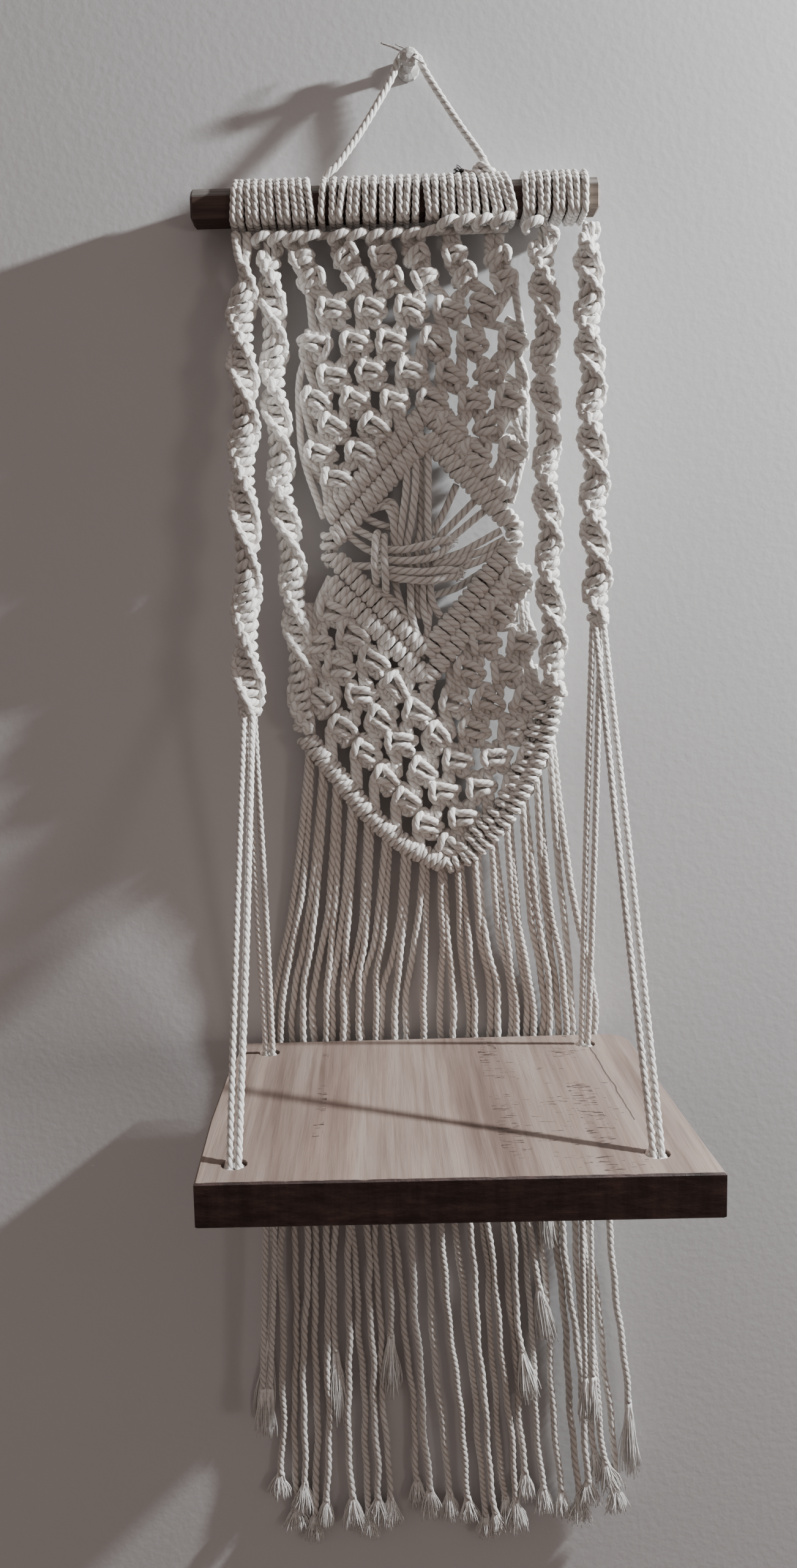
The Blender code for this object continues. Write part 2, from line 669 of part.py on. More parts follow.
def make_panel(finish):
    """Both nets, the header, the diamond's bars, the edge cords and the woven middle, fused."""
    panel = add_object("macrame_panel", make_upper_net(), finish)
    pieces = [("lower_net", make_lower_net())]
    pieces.append(("header", hitched_bar(HEADER, 0.0026, 0.0046, SHEET_BACK, 2 * HITCH)))
    for name, (middle, left, right) in DIAMOND.items():
        for hand, end in (("left", left), ("right", right)):
            pieces.append((f"{name}_{hand}", hitched_bar((middle, end), BAR_HALF, 0.0056, SHEET_BACK, HITCH)))
    for hand, x, spread in (("left", -0.0435, -1), ("right", 0.0500, 1)):
        upper = DIAMOND["upper_inner"][1 if hand == "left" else 2]
        lower = DIAMOND["lower_inner"][1 if hand == "left" else 2]
        knot = ((x, upper[1] + 0.0040), (x + spread * 0.001, (upper[1] + lower[1]) / 2), (x, lower[1] - 0.0060))
        pieces.append((f"corner_{hand}", hitched_bar(knot, 0.0046, 0.0050, SHEET_BACK, HITCH)))
    edges = (
        ("edge_left", ((-0.0570, -0.0990), (-0.0582, -0.1500), (-0.0560, -0.1900), (-0.0465, -0.2200))),
        ("edge_right", ((0.0455, -0.1000), (0.0525, -0.1400), (0.0525, -0.1850), (0.0480, -0.2150))),
        ("side_left", ((-0.0450, -0.2460), (-0.0545, -0.2660), (-0.0545, -0.2900), (-0.0510, -0.3140))),
        ("side_right", ((0.0520, -0.2400), (0.0545, -0.2640), (0.0560, -0.2900), (0.0560, -0.3080))),
    )
    for name, line in edges:
        pieces.append((name, hitched_bar(line, 0.0022, 0.0026, 0.0018, 0.0500)))
    for number, (x0, f0, z0, x1, f1, z1) in enumerate(WEAVE):
        middle = on_panel((x0 + x1) / 2, (z0 + z1) / 2, (f0 + f1) / 2 + 0.0012)
        route = (on_panel(x0, z0, f0), middle, on_panel(x1, z1, f1))
        pieces.append((f"weave_{number}", strand(route, WEAVE_R, 4, 0.0400)))
    for name, shape in pieces:
        add_boolean(panel, as_cutter(add_object(name, shape, finish)), "UNION", "MANIFOLD")
    return panel


# ------------------------------------------------------------------ hem and fringe
def fringe_route(number):
    """Centre line of one strand, from inside the hem down behind the board to its end."""
    x_board, x_end, z_end = FRINGE[number]
    x_root = ROOT_SHIFT + ROOT_SCALE * x_board
    z_root = height_on(HEM, x_root)
    layer = FRINGE_Y[number % 2]
    sway = 0.0003 * math.sin(1.7 * number)
    low = BOARD_TOP - BOARD_T
    share = 0.45
    return [
        (x_root, panel_y(z_root) + 0.0006, z_root + 0.0005),
        (x_root + 0.0001, panel_y(z_root) + 0.0010, z_root - 0.0100),
        (x_root + (x_board - x_root) * 0.45 + sway, (panel_y(z_root) + layer) / 2, (z_root + BOARD_TOP) / 2),
        (x_board, layer, BOARD_TOP + 0.0200),
        (x_board, layer, low - 0.0100),
        (x_board + (x_end - x_board) * share - sway, layer - 0.0020, low + (z_end - low) * share),
        (x_end, layer - 0.0030, z_end),
    ]


def make_fringe(finish):
    """The hitched hem as the backing, with every strand's root fused into it."""
    fringe = add_object("hem_fringe", hitched_bar(HEM, HEM_HALF, 0.0052, SHEET_BACK, HITCH * 1.3), finish)
    strands = bmesh.new()
    for number in range(len(FRINGE)):
        path = smooth_path(fringe_route(number), 0.0800)
        z_end = path[-1].z
        plain = [p for p in path if p.z > z_end + TASSEL_LENGTH * 1.15]
        fray = path[-1] + (plain[-1] - path[-1]) * (TASSEL_LENGTH / (plain[-1] - path[-1]).length)
        path = plain + [fray, path[-1]]
        last = len(path) - 1

        def section(i):
            radius = TASSEL_R if i == last else FRINGE_R * (0.8 if i in (0, 1, last - 1) else 1.0)
            return ellipse(radius, min(radius, 0.0022), 3)

        sweep(strands, path, section)
    add_boolean(fringe, as_cutter(add_object("fringe_strands", strands, finish)), "UNION", "MANIFOLD")
    return fringe


# ------------------------------------------------------------------ ropes and board
def make_rope(corner, finish):
    """A pair of cords from a band's end down through the board, with its stop knot and tail."""
    end, hand = corner.split("_")
    hole_x, hole_y = HOLES[corner]
    band_end = Vector(BANDS[f"sennit_outer_{hand}"][0][-1])
    lean = -0.0040 if end == "front" else 0.0042
    start = band_end + Vector((0.0, lean, -2 * GAP - lean * 0.14))
    low = BOARD_TOP - BOARD_T
    tilt = 0.0006 if end == "front" else -0.0002
    tail_z = TAIL_END[end]
    tail_x = hole_x + (TAIL_LEAN[hand] if end == "rear" else 0.0)
    half, length = STOP_KNOT
    route = [start]
    for share in (0.25, 0.5, 0.75):
        route.append(start.lerp(Vector((hole_x, hole_y + tilt, BOARD_TOP)), share))
    route += [Vector((hole_x, hole_y + tilt, BOARD_TOP)), Vector((hole_x, hole_y, low + 0.0016))]
    route = [(p, 1.0, 1.0) for p in route]
    knot = ((-0.0006, 0.62, 1.1), (GAP, 1.55, 3.1), (0.0034, 1.85, 3.6), (0.0066, 1.65, 3.2), (0.0094, 0.95, 1.2))
    for drop, wide, deep in knot:
        route.append((Vector((hole_x, hole_y, low - drop)), wide, deep))
    tail = [low - length - 0.0010, (low + tail_z) / 2, tail_z + TASSEL_LENGTH, tail_z]
    if end == "front":
        tail = [low - length - 0.0010, tail_z]
    for i, z in enumerate(tail):
        share = (low - z) / (low - tail_z)
        spread = 1.45 if i == len(tail) - 1 else 0.95
        route.append((Vector((hole_x + (tail_x - hole_x) * share, hole_y, z)), spread, spread))
    radius = ROPE / 2
    lobes = ((2.05, 0.0), (1.05, 1.0), (0.0, 0.55), (-1.05, 1.0), (-2.05, 0.0), (-1.05, -1.0), (0.0, -0.55), (1.05, -1.0))

    def section(i):
        return [(a * radius * route[i][1], d * radius * route[i][2]) for a, d in lobes]

    shape = bmesh.new()
    sweep(shape, [p for p, wide, deep in route], section)
    return add_object(f"rope_{corner}", shape, finish)


def make_board(finish):
    shape = bmesh.new()
    ring = [shape.verts.new((x, y, BOARD_TOP)) for x, y in BOARD_OUTLINE]
    face = shape.faces.new(ring)
    moved = bmesh.ops.extrude_face_region(shape, geom=[face])["geom"]
    low = [v for v in moved if isinstance(v, bmesh.types.BMVert)]
    bmesh.ops.translate(shape, verts=low, vec=(0, 0, -BOARD_T))
    flat = [e for e in shape.edges if abs(e.verts[0].co.z - e.verts[1].co.z) < 1e-6]
    bmesh.ops.bevel(shape, geom=flat, offset=BOARD_EDGE, segments=1, affect="EDGES")
    board = add_object("shelf_board", shape, finish)
    for corner, (x, y) in HOLES.items():
        tool = bmesh.new()
        bmesh.ops.create_cone(tool, cap_ends=True, segments=HOLE_SIDES, radius1=HOLE_R, radius2=HOLE_R,
                              depth=BOARD_T * 2, matrix=Matrix.Translation((x, y, BOARD_TOP - BOARD_T / 2)))
        add_boolean(board, as_cutter(add_object(f"hole_{corner}", tool, finish)), "DIFFERENCE")
    return board


# ------------------------------------------------------------------ the whole hanger
def main():
    for old in list(bpy.data.objects):
        bpy.data.objects.remove(old)
    cotton = material("cotton_cord", (0.78, 0.76, 0.72), 0.92)
    bar_wood = material("bar_wood", (0.12, 0.08, 0.06), 0.7)
    board_wood = material("board_wood", (0.50, 0.38, 0.31), 0.62)
    peg_paint = material("peg_paint", (0.72, 0.71, 0.70), 0.5)

    make_peg(peg_paint)
    make_bar(bar_wood)
    make_hanging_cord(cotton)
    for number, (left, right, turns) in enumerate(WRAP_GROUPS, start=1):
        make_wraps(number, left, right, turns, cotton)
    for name, spec in BANDS.items():
        make_band(name, spec, cotton)
    make_panel(cotton)
    make_fringe(cotton)
    make_board(board_wood)
    for corner in HOLES:
        make_rope(corner, cotton)


main()
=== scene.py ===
"""Dressed model of the macrame plant hanger: twisted cotton cords, knots and frayed ends.

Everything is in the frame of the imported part. Tables and paths are in millimetres: x to the right,
z up, and the wall in the plane y = 0 with the front towards -y.
"""
from math import cos, pi, radians, sin, sqrt

import bpy
import numpy as np
from mathutils import Matrix, Vector


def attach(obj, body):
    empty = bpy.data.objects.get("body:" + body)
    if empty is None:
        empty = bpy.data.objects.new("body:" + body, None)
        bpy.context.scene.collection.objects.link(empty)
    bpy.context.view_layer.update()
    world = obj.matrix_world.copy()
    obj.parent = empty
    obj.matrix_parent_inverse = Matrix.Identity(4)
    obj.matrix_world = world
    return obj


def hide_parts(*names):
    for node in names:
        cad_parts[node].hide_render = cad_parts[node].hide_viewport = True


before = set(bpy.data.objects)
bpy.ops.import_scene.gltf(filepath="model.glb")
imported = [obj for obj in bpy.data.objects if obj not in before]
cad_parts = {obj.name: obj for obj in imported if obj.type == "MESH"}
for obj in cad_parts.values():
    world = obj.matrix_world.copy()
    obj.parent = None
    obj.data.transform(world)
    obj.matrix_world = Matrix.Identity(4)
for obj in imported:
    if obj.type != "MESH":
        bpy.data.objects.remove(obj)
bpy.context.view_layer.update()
RNG = np.random.default_rng(11)
MM = 0.001

# ---- cord ----
CORD_R = 2.0            # radius of the three-ply cotton cord
TWIST = 11.0            # length of one full turn of the plies
ROPE_R = 1.75
PLY_R = 1.15            # radius of one loose ply

# ---- bar: section and the turns of cord round it ----
BAR_LEFT, BAR_BACK, BAR_FRONT = -108.0, -6.5, -21.0
BAR_TOP, BAR_BOTTOM = -61.0, -76.2     # at the left end
BAR_SLOPE = 0.0163
BAR_WANE = 4.0                         # width of the wood missing along its top front edge
BAR_GAP = 2.25                         # from the bar to the middle of a cord round it
WRAP_GROUPS = (
    # node, left, right, how far each turn's top lies to the right of its underside
    ("bar_wraps_1", -89.2, -47.4, (1.8, 0.7, 0, -0.4, -0.6, -0.9, -1, -1.3, -1.4, -1.8, -2.3)),
    ("bar_wraps_2", -41.4, 3.4, (1.6, 2.4, 2.4, 0.9, 0.5, 0.5, 0.9, 0.2, 0.9, 0.9, 0.9)),
    ("bar_wraps_3", 5.8, 33.2, (-1.2, -0.7, -0.5, -0.8, -1, -1.3, -1.9)),
    ("bar_wraps_4", 38.2, 51.8, (-3.9, -4.2, -4.8, -5.1)),
    ("bar_wraps_5", 53.2, 86, (0, 0, -0.4, -0.2, 0.3, 0.2, -0.9, -0.9, 0.2)),
)
TIE_LEFT, TIE_RIGHT = -44.4, 35.7

# ---- panel ----
PANEL_TOP = (-86.0, -14.3)      # z and y of the panel's middle plane at its top and low end
PANEL_LOW = (-400.0, -10.2)
RECESS = 3.2                    # how much further back its right half lies
FIRST_ROW = (
    # x and z of a knot under the header, its turn in degrees
    (-53, -96, -22), (-31.8, -96, -26), (-14, -96.5, -28), (3.4, -95.5, -30), (22.2, -95.5, -30),
    (43, -97, -14),
)
HEADER = (
    # centre of each slanted lump of the header: x, y, z
    (-74, -20, -84.4), (-65.8, -20, -84.6), (-57.6, -20, -84.6), (-50, -20, -84.5), (-36, -20, -84),
    (-27.2, -20, -84), (-18, -19.5, -84), (-9.4, -19.5, -83.8), (-0.4, -19.5, -83.6), (8, -20, -83),
    (17, -24.4, -79.8), (25.2, -24.8, -79.6), (33.8, -24.8, -79.6), (43.6, -24.6, -79),
    (58.4, -23.6, -80.6),
)
UPPER_ROWS = (
    # z, x of the first knot, number of knots
    (-118, -41.5, 5), (-134.5, -49.5, 6), (-149, -41, 5), (-162, -50, 6), (-174.5, -41, 5),
    (-187, -48.5, 6), (-199.5, -40.5, 5),
)
UPPER_PITCH, LOWER_PITCH = 19.6, 19.0   # from knot to knot along a row
LOWER_FIRST, LOWER_STEP, LOWER_ROWS = -256.0, 15.2, 10
NET_R = CORD_R * 1.07
MIRRORED = 0.12                         # share of knots tied to the other side
BAR_COIL = (3.9, 3.6, 3.1)              # pitch, half width and half depth of the diamond's hitched bars
DIAMOND = {
    "upper_outer": ((5.6, -166.5), (-45.5, -218), (46.5, -212)),
    "upper_inner": ((5.3, -179.5), (-42.5, -229), (48.5, -223.5)),
    "lower_inner": ((3.4, -288), (-42, -239), (49, -233)),
    "lower_outer": ((3.2, -301), (-45.5, -251), (52.5, -244)),
}
UPPER_EDGES = (
    ((-52, -136), (-57.6, -150), (-58.4, -170), (-56.6, -190), (-47.5, -219)),
    ((50, -136), (55.6, -150), (56, -168), (54.6, -188), (48, -213)),
)
LOWER_EDGES = (
    ((-45, -248), (-52.6, -264), (-54.2, -284), (-50, -304)),
    ((49, -240), (52, -258), (55, -284), (57, -310)),
)
HEM = ((-60, -330), (-44, -350.5), (-28, -371), (-8.5, -388.5),
       (12, -399), (25, -393.5), (45, -373), (62, -341), (70.5, -312))

# ---- bands ----
BANDS = {
    # name: centre line, half its width, plain length at the top, heights where its flat side faces us
    "sennit_outer_left": (
        ((-83.8, -17, -81.4), (-84.3, -31, -160), (-84.7, -42.5, -235), (-84.6, -53, -315)),
        7.9, 19, (-118, -149.9, -182.4, -218.6, -258.9, -297.6)),
    "sennit_inner_left": (
        ((-70, -17, -80.8), (-69.8, -19, -150), (-67.2, -18.5, -211), (-63.2, -17.5, -258),
         (-62.2, -16.5, -293), (-61, -14, -326.4)),
        7.4, 6, (-87.5, -114.5, -141.4, -168.8, -195.2, -218.8, -247.3, -276.5, -305)),
    "sennit_inner_right": (
        ((64, -17.5, -78.7), (64.2, -21.5, -120), (64.2, -22, -152), (65.2, -21.5, -213),
         (66.4, -20, -260), (69.5, -15.5, -310)),
        7.3, 5, (-90.6, -115.6, -140.6, -166, -191.5, -217.7, -238.3, -264.1, -289.3)),
    "sennit_outer_right": (
        ((86.8, -17, -78.8), (85, -27.5, -125), (85.3, -37.5, -201), (85.5, -47, -274.5)),
        7.5, 3, (-82, -103.1, -122.5, -146, -167.1, -191.2, -212.2, -236.2, -257.2)),
}
HALF_KNOT = 4.7         # length of band that one half-knot takes
RAILS = (
    # one cord over two half-knots: across, towards the front, down in half-knots, and millimetres more
    (-3.5, 1, -1, -1.8), (-5.4, 3.4, -1, 0.4), (-5.8, 3, -1, 2.6), (-4.6, 1.9, 0, -0.6), (-1.8, 2.3, 0, 0),
    (1.8, 2.3, 0, 0.2), (4.4, 1, 0, 0.4), (6, 0.2, 0, 1.6), (5.7, 2.5, 1, -0.8), (5.3, 3.2, 1, 0.6),
    (4.4, 0.6, 1, 2.2), (3.6, -1, 1, 2), (1.8, -3, 1, 1.4), (-1.8, -3, 1, 0.6), (-3.6, -1.2, 1, -0.8),
)

# ---- board, ropes and fringe ----
BOARD_TOP, BOARD_LOW = -494.0, -513.0
HOLES = {
    "front_left": (-86.0, -158.5), "rear_left": (-83.3, -25.5),
    "front_right": (88.8, -159.5), "rear_right": (82.6, -24.5),
}
FRINGE = (
    # x at the board, x at the end, z of the end
    (-82.7, -93, -722), (-77.5, -88, -764), (-71.9, -80, -786), (-66, -74, -775), (-60.4, -69, -794),
    (-54.7, -62, -786), (-50.3, -55.5, -722), (-46, -47.5, -784), (-41.8, -39, -792), (-37.6, -32, -782),
    (-33.4, -24.5, -785), (-28.2, -20.5, -706), (-23.2, -9.5, -772), (-17.4, -2, -779), (-10.3, 10, -781),
    (-1.9, 20, -783), (8, 29, -793), (15.5, 35, -790), (22.2, 41, -786), (27.5, 46.5, -788),
    (33.8, 52, -770), (40, 52.5, -709), (45, 62.5, -778), (49.5, 60.2, -675), (54, 72.5, -781),
    (58.5, 65.6, -618), (62.8, 82.5, -785), (67, 88, -773), (71.2, 93, -760), (75.5, 98.5, -765),
    (79.7, 104.5, -778), (90, 113, -756),
)
FRINGE_ROOTS = (
    # number of a cord, x where it leaves the hem; the others lie between
    (0, -59.5), (5, -42), (9, -25.5), (16, 8.9), (22, 36.3), (27, 56.5), (31, 70),
)
LAYERS = (-2.9, -4.5)   # y of even and odd cords behind the board
SHORT_END = -760        # a cord that ends above this has a long open tassel

# ---- board and bar finish, in metres ----
TEAR_ROWS = (
    # x of a row of small tears, half its width, how rare they are
    (-0.0530, 0.0024, 0.63), (0.0304, 0.0050, 0.63), (0.0692, 0.0055, 0.62), (0.0600, 0.0240, 0.70),
)
BAR_TONES = (
    # darkest and lightest of the dark wood, the right end and the pale top
    ((0.030, 0.016, 0.013), (0.105, 0.063, 0.050)),
    ((0.10, 0.074, 0.054), (0.22, 0.175, 0.135)),
    ((0.10, 0.090, 0.082), (0.24, 0.220, 0.200)),
)
WHITE = (1.0, 1.0, 1.0)

# ---- camera, lamps and backdrop, in metres ----
CAMERA_SPOT = (-0.02314, -0.62274, -0.28261)
CAMERA_PITCH, CAMERA_YAW, CAMERA_ROLL = 6.8, 1.0, 1.2      # down, to the right, tipped; degrees
CAMERA_LENS, CAMERA_SENSOR = 27.04, 36.0
LAMPS = (
    # name, place, what it points at, size, power, colour
    ("key", (0.88, -0.160, 0.24), (0.0, -0.03, -0.27), 0.045, 31.5, (0.93, 0.975, 1.0)),
    ("fill", (1.13, -1.5, -0.45), (0.0, 0.0, -0.35), 0.3, 2.1, (1.0, 0.88, 0.83)),
)
SKY = ((0.40, (0.36, 0.29, 0.265)), (0.75, (1.0, 0.86, 0.81)))     # from low to high
SKY_STRENGTH = 0.355
WALL_WIDE, WALL_HIGH, WALL_LOW, FLOOR_DEEP, WALL_BACK = 3.0, 1.6, -1.35, 1.6, 0.0006
WALL_COLOUR, FLOOR_COLOUR = (0.64, 0.63, 0.63), (0.12, 0.085, 0.07)

# ---- woven middle of the diamond: points (x, millimetres in front of the panel's plane, z) ----
WEAVE = {
    "v1": ((-4.8, 0, -189.5), (-5.6, 2, -205.9), (-8, 3, -222.1), (-9.8, 2, -236), (-9, 1, -252)),
    "v2": ((-0.2, 0, -188.1), (-1, 2.5, -205), (-3.4, 3, -222.2), (-5.5, 2.5, -233.2), (-4.3, 2, -251.6),
           (-4.2, 2, -265), (-2.3, 1, -275.3), (0.3, 0, -281.1)),
    "v3": ((2.3, -2, -190.5), (1.6, 0, -222), (-0.4, 0.5, -236.2), (-0.6, -1, -270)),
    "v4": ((5.9, 0, -184.7), (5.5, 2.5, -206.1), (5, 3, -222.3), (5.2, 2.5, -232.4), (2.3, 1.5, -252.7),
           (2.1, 1.5, -265.1), (4.6, 0, -274.3)),
    "v5": ((9.3, 2, -236.5), (6.1, 2, -251.8), (6.6, 2, -261.1), (11, 0, -269.3)),
    "c1": ((-25.3, -2, -215.2), (-16.1, 1, -213.6), (-12.6, 2.5, -219.9), (-12.1, 2.5, -228),
           (-12.4, 1, -238)),
    "c2": ((-21.1, -3, -211.6), (-12.9, 0, -211.6), (-10.5, 1, -217.8), (-9.6, 1, -225.9),
           (-10.3, 0.5, -235)),
    "h1": ((-22, 1, -233), (-15.6, 4.5, -235.4), (-7.4, 6.5, -235.8), (2.9, 7, -233.8), (11.2, 6.5, -231.7),
           (15.4, 5.5, -231.1)),
    "h2": ((-23, 1, -238.4), (-15.7, 4.8, -240.5), (-5.4, 7, -241.3), (3.8, 7, -240.4), (10.1, 6.5, -238.4),
           (14.3, 5, -234.8)),
    "h3": ((-23, 1, -243.4), (-15.8, 4.8, -245.2), (-5.6, 7, -246.6), (4.7, 7, -246.8), (13, 6.5, -245.9),
           (19.3, 5, -246.6)),
    "h4": ((-21, 1, -247), (-15.3, 4.8, -248.8), (-5.6, 7, -250.6), (4.7, 7, -251.3), (14, 6.5, -250),
           (18.8, 5, -249.3)),
    "s1": ((-20.3, -2, -226.5), (-20.8, 3, -227.5), (-21.7, 7.5, -232.3), (-22.4, 8.5, -243.5),
           (-21.8, 6, -249.9), (-21.4, 1, -251.5)),
    "s2": ((-17.2, -1, -228.5), (-17.3, 3.5, -229.5), (-17.5, 7.8, -236.4), (-17.1, 8.6, -246.6),
           (-17, 5.5, -253.6), (-16.8, 1, -256)),
    "l1": ((-35.8, 0, -222.2), (-25.7, 1, -227.6), (-18.1, 2, -231.3)),
    "l2": ((-36, 0, -227), (-26.9, 1, -234.2), (-19.8, 2, -237.4)),
    "l3": ((-37.9, 0, -242.7), (-29.2, 1, -243.1), (-19, 2, -243.6)),
    "l4": ((-29.3, 0, -251), (-20.1, 1, -255.9), (-9.9, 0, -263)),
    "l5": ((-30.5, -2, -216.2), (-21.4, -1, -221.4), (-13.3, -1, -224.1)),
    "r1": ((7.1, 4, -242.4), (18.4, 4, -242), (25.3, 2, -240.7)),
    "r2": ((11.4, 3, -240.8), (22.8, 1, -236.7), (32.4, 0, -231.7), (42.8, -1, -226.2)),
    "r3": ((12.4, 3, -242.6), (25.9, 1, -238.8), (34.4, 0, -235.9), (44.8, -1, -230.6)),
    "r4": ((12.6, 2, -247), (30.1, 1, -242), (42.6, -1, -235)),
    "r5": ((5.6, -2, -234.1), (18.1, -2, -222.1), (30.5, -2, -210.1)),
    "r6": ((7.6, -2, -227), (14, -2.5, -216), (20.5, -2.5, -202.5)),
    "r7": ((12, -1, -234), (25, -2, -223.5), (36.5, -2.5, -214.5)),
    "r8": ((6, -2, -259), (20, -2.5, -254.5), (33.5, -2.5, -246.5)),
    "b1": ((-12.8, -1, -248.3), (-10.3, 0, -259.6), (-5.8, 0, -270.9)),
    "b2": ((6, -1, -250.7), (4.9, 0, -269.2), (3.6, -1, -280.3)),
}
FRAYED_WEAVE = ("h1", "h2", "h3", "h4", "r1")


# ---- curves ----
def smooth(points, step):
    """Even points on a smooth curve through the given ones."""
    p = np.asarray(points, float)
    p = np.vstack([2 * p[0] - p[1], p, 2 * p[-1] - p[-2]])
    t = np.linspace(0, 1, 9)[None, :-1, None]
    a, b, c, d = (p[i:len(p) - 3 + i, None, :] for i in range(4))
    curve = 0.5 * (2 * b + (c - a) * t + (2 * a - 5 * b + 4 * c - d) * t ** 2
                   + (3 * b - a - 3 * c + d) * t ** 3)
    return even(np.vstack([curve.reshape(-1, 3), p[-2]]), step)


def lengths(points):
    """How far along a line each of its points lies."""
    return np.concatenate([[0], np.cumsum(np.linalg.norm(np.diff(points, axis=0), axis=1))])


def at_length(values, run, s):
    """The point, or other row of values, at length s along a line."""
    return np.array([np.interp(s, run, values[:, k]) for k in range(3)])


def unit(rows):
    """Each row, made one long."""
    return rows / np.linalg.norm(rows, axis=-1, keepdims=True)


def even(points, step):
    """The same line with points at even distances."""
    points = points[np.concatenate([[True], np.diff(lengths(points)) > 1e-6])]
    along = lengths(points)
    at = np.linspace(0, along[-1], max(2, round(along[-1] / step)) + 1)
    return np.column_stack([np.interp(at, along, points[:, k]) for k in range(3)])


def directions(path):
    """Unit tangent, across and depth at each point, carried along without rolling."""
    tangent = unit(np.gradient(path, axis=0))
    across = np.empty_like(tangent)
    v = Vector(tangent[0]).orthogonal().normalized()
    for i, row in enumerate(tangent):
        t = Vector(row)
        v = (v - t * v.dot(t)).normalized()
        across[i] = v
    return tangent, across, np.cross(tangent, across)


def ease(share):
    """0 to 1 with a soft start and end."""
    share = min(max(share, 0), 1)
    return share * share * (3 - 2 * share)


def panel_y(z, x=-60):
    """Middle plane of the panel; its right half lies further back, behind the bands."""
    share = (PANEL_TOP[0] - z) / (PANEL_TOP[0] - PANEL_LOW[0])
    back = RECESS * ease((x + 4) / 22) * ease((PANEL_TOP[0] - z) / 36)
    return PANEL_TOP[1] + share * (PANEL_LOW[1] - PANEL_TOP[1]) + back


def height_on(line, x):
    """Height of a line of (x, z) points, in any order, at x."""
    return float(np.interp(x, *zip(*sorted(line))))


# ---- cord skins ----
class Skin:
    """Collects the skins of many cords and makes one piece of them."""

    LAYERS = ("ply", "run", "tone")     # what the cotton finish reads: place across, place along, shade

    def __init__(self, valley=0.86):
        self.valley = valley            # radius in the groove between two plies, as a share
        self.points, self.quads, self.tris = [], [], []
        self.quad_data, self.tri_data = [], []
        self.count = 0

    def cord(self, path, radius=CORD_R, sides=9, twist=TWIST, lobes=3, shape=None, tone=None, valley=None):
        """One twisted cord along an even path; shape scales its radius at each point."""
        path = np.asarray(path, float)
        n = len(path)
        tangent, across, depth = directions(path)
        run = lengths(path)
        start = RNG.uniform(0, 2 * pi)
        slots = np.arange(sides)
        angle = start + 2 * pi * (slots[None, :] / sides - run[:, None] / twist)
        if valley is None:
            valley = {9: (1, self.valley, self.valley), 6: (1, 0.78)}.get(sides, (1,))
        lobe = np.array([valley[j % len(valley)] for j in range(sides)])
        scale = radius * (np.ones(n) if shape is None else np.asarray(shape))
        ring = across[:, None] * np.cos(angle)[..., None] + depth[:, None] * np.sin(angle)[..., None]
        skin = path[:, None] + ring * (scale[:, None] * lobe)[..., None]
        base = self.count
        self.points += [skin.reshape(-1, 3), path[[0, -1]]]
        i, j = np.meshgrid(np.arange(n - 1), slots, indexing="ij")
        here, there = base + i * sides, (j + 1) % sides
        quads = np.stack([here + j, here + there, here + sides + there, here + sides + j], -1)
        self.quads.append(quads.reshape(-1, 4))
        ply = lobes / sides
        u = np.stack([j * ply, (j + 1) * ply, (j + 1) * ply, j * ply], -1)
        v = np.stack([run[i], run[i], run[i + 1], run[i + 1]], -1)
        tone = RNG.uniform(0.6, 1) if tone is None else tone
        self.quad_data.append(np.stack([u, v, np.full(u.shape, tone)], -1).reshape(-1, 4, 3))
        first, last = base + n * sides, base + n * sides + 1
        rim = base + (n - 1) * sides
        near = np.stack([np.full(sides, first), base + (slots + 1) % sides, base + slots], -1)
        far = np.stack([np.full(sides, last), rim + slots, rim + (slots + 1) % sides], -1)
        self.tris.append(np.vstack([near, far]))
        cap = np.empty((2 * sides, 3, 3))
        cap[:] = (0.25 if lobes else 0, run[-1], tone)
        self.tri_data.append(cap)
        self.count += n * sides + 2

    def thread(self, path, radius, tone, tip=0.3):
        """One fine fibre, three-sided and tapered."""
        self.cord(path, radius, 3, 400, 0, np.linspace(1, tip, len(path)), tone, (1,))

    def build(self, name, finish, *nodes):
        """One piece of all the cords, on the body; it takes the place of the CAD nodes named."""
        faces = np.vstack(self.quads).tolist() + np.vstack(self.tris).tolist()
        data = np.vstack([part.reshape(-1, 3) for part in self.quad_data + self.tri_data])
        mesh = bpy.data.meshes.new(name)
        mesh.from_pydata(np.vstack(self.points) * MM, [], faces)
        mesh.polygons.foreach_set("use_smooth", np.ones(len(faces), bool))
        for k, key in enumerate(self.LAYERS):
            layer = mesh.attributes.new(key, "FLOAT", "CORNER")
            layer.data.foreach_set("value", data[:, k].astype(np.float32))
        mesh.validate()
        mesh.materials.append(finish)
        made = add_object(name, mesh)
        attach(made, "root")
        if nodes:
            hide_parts(*nodes)


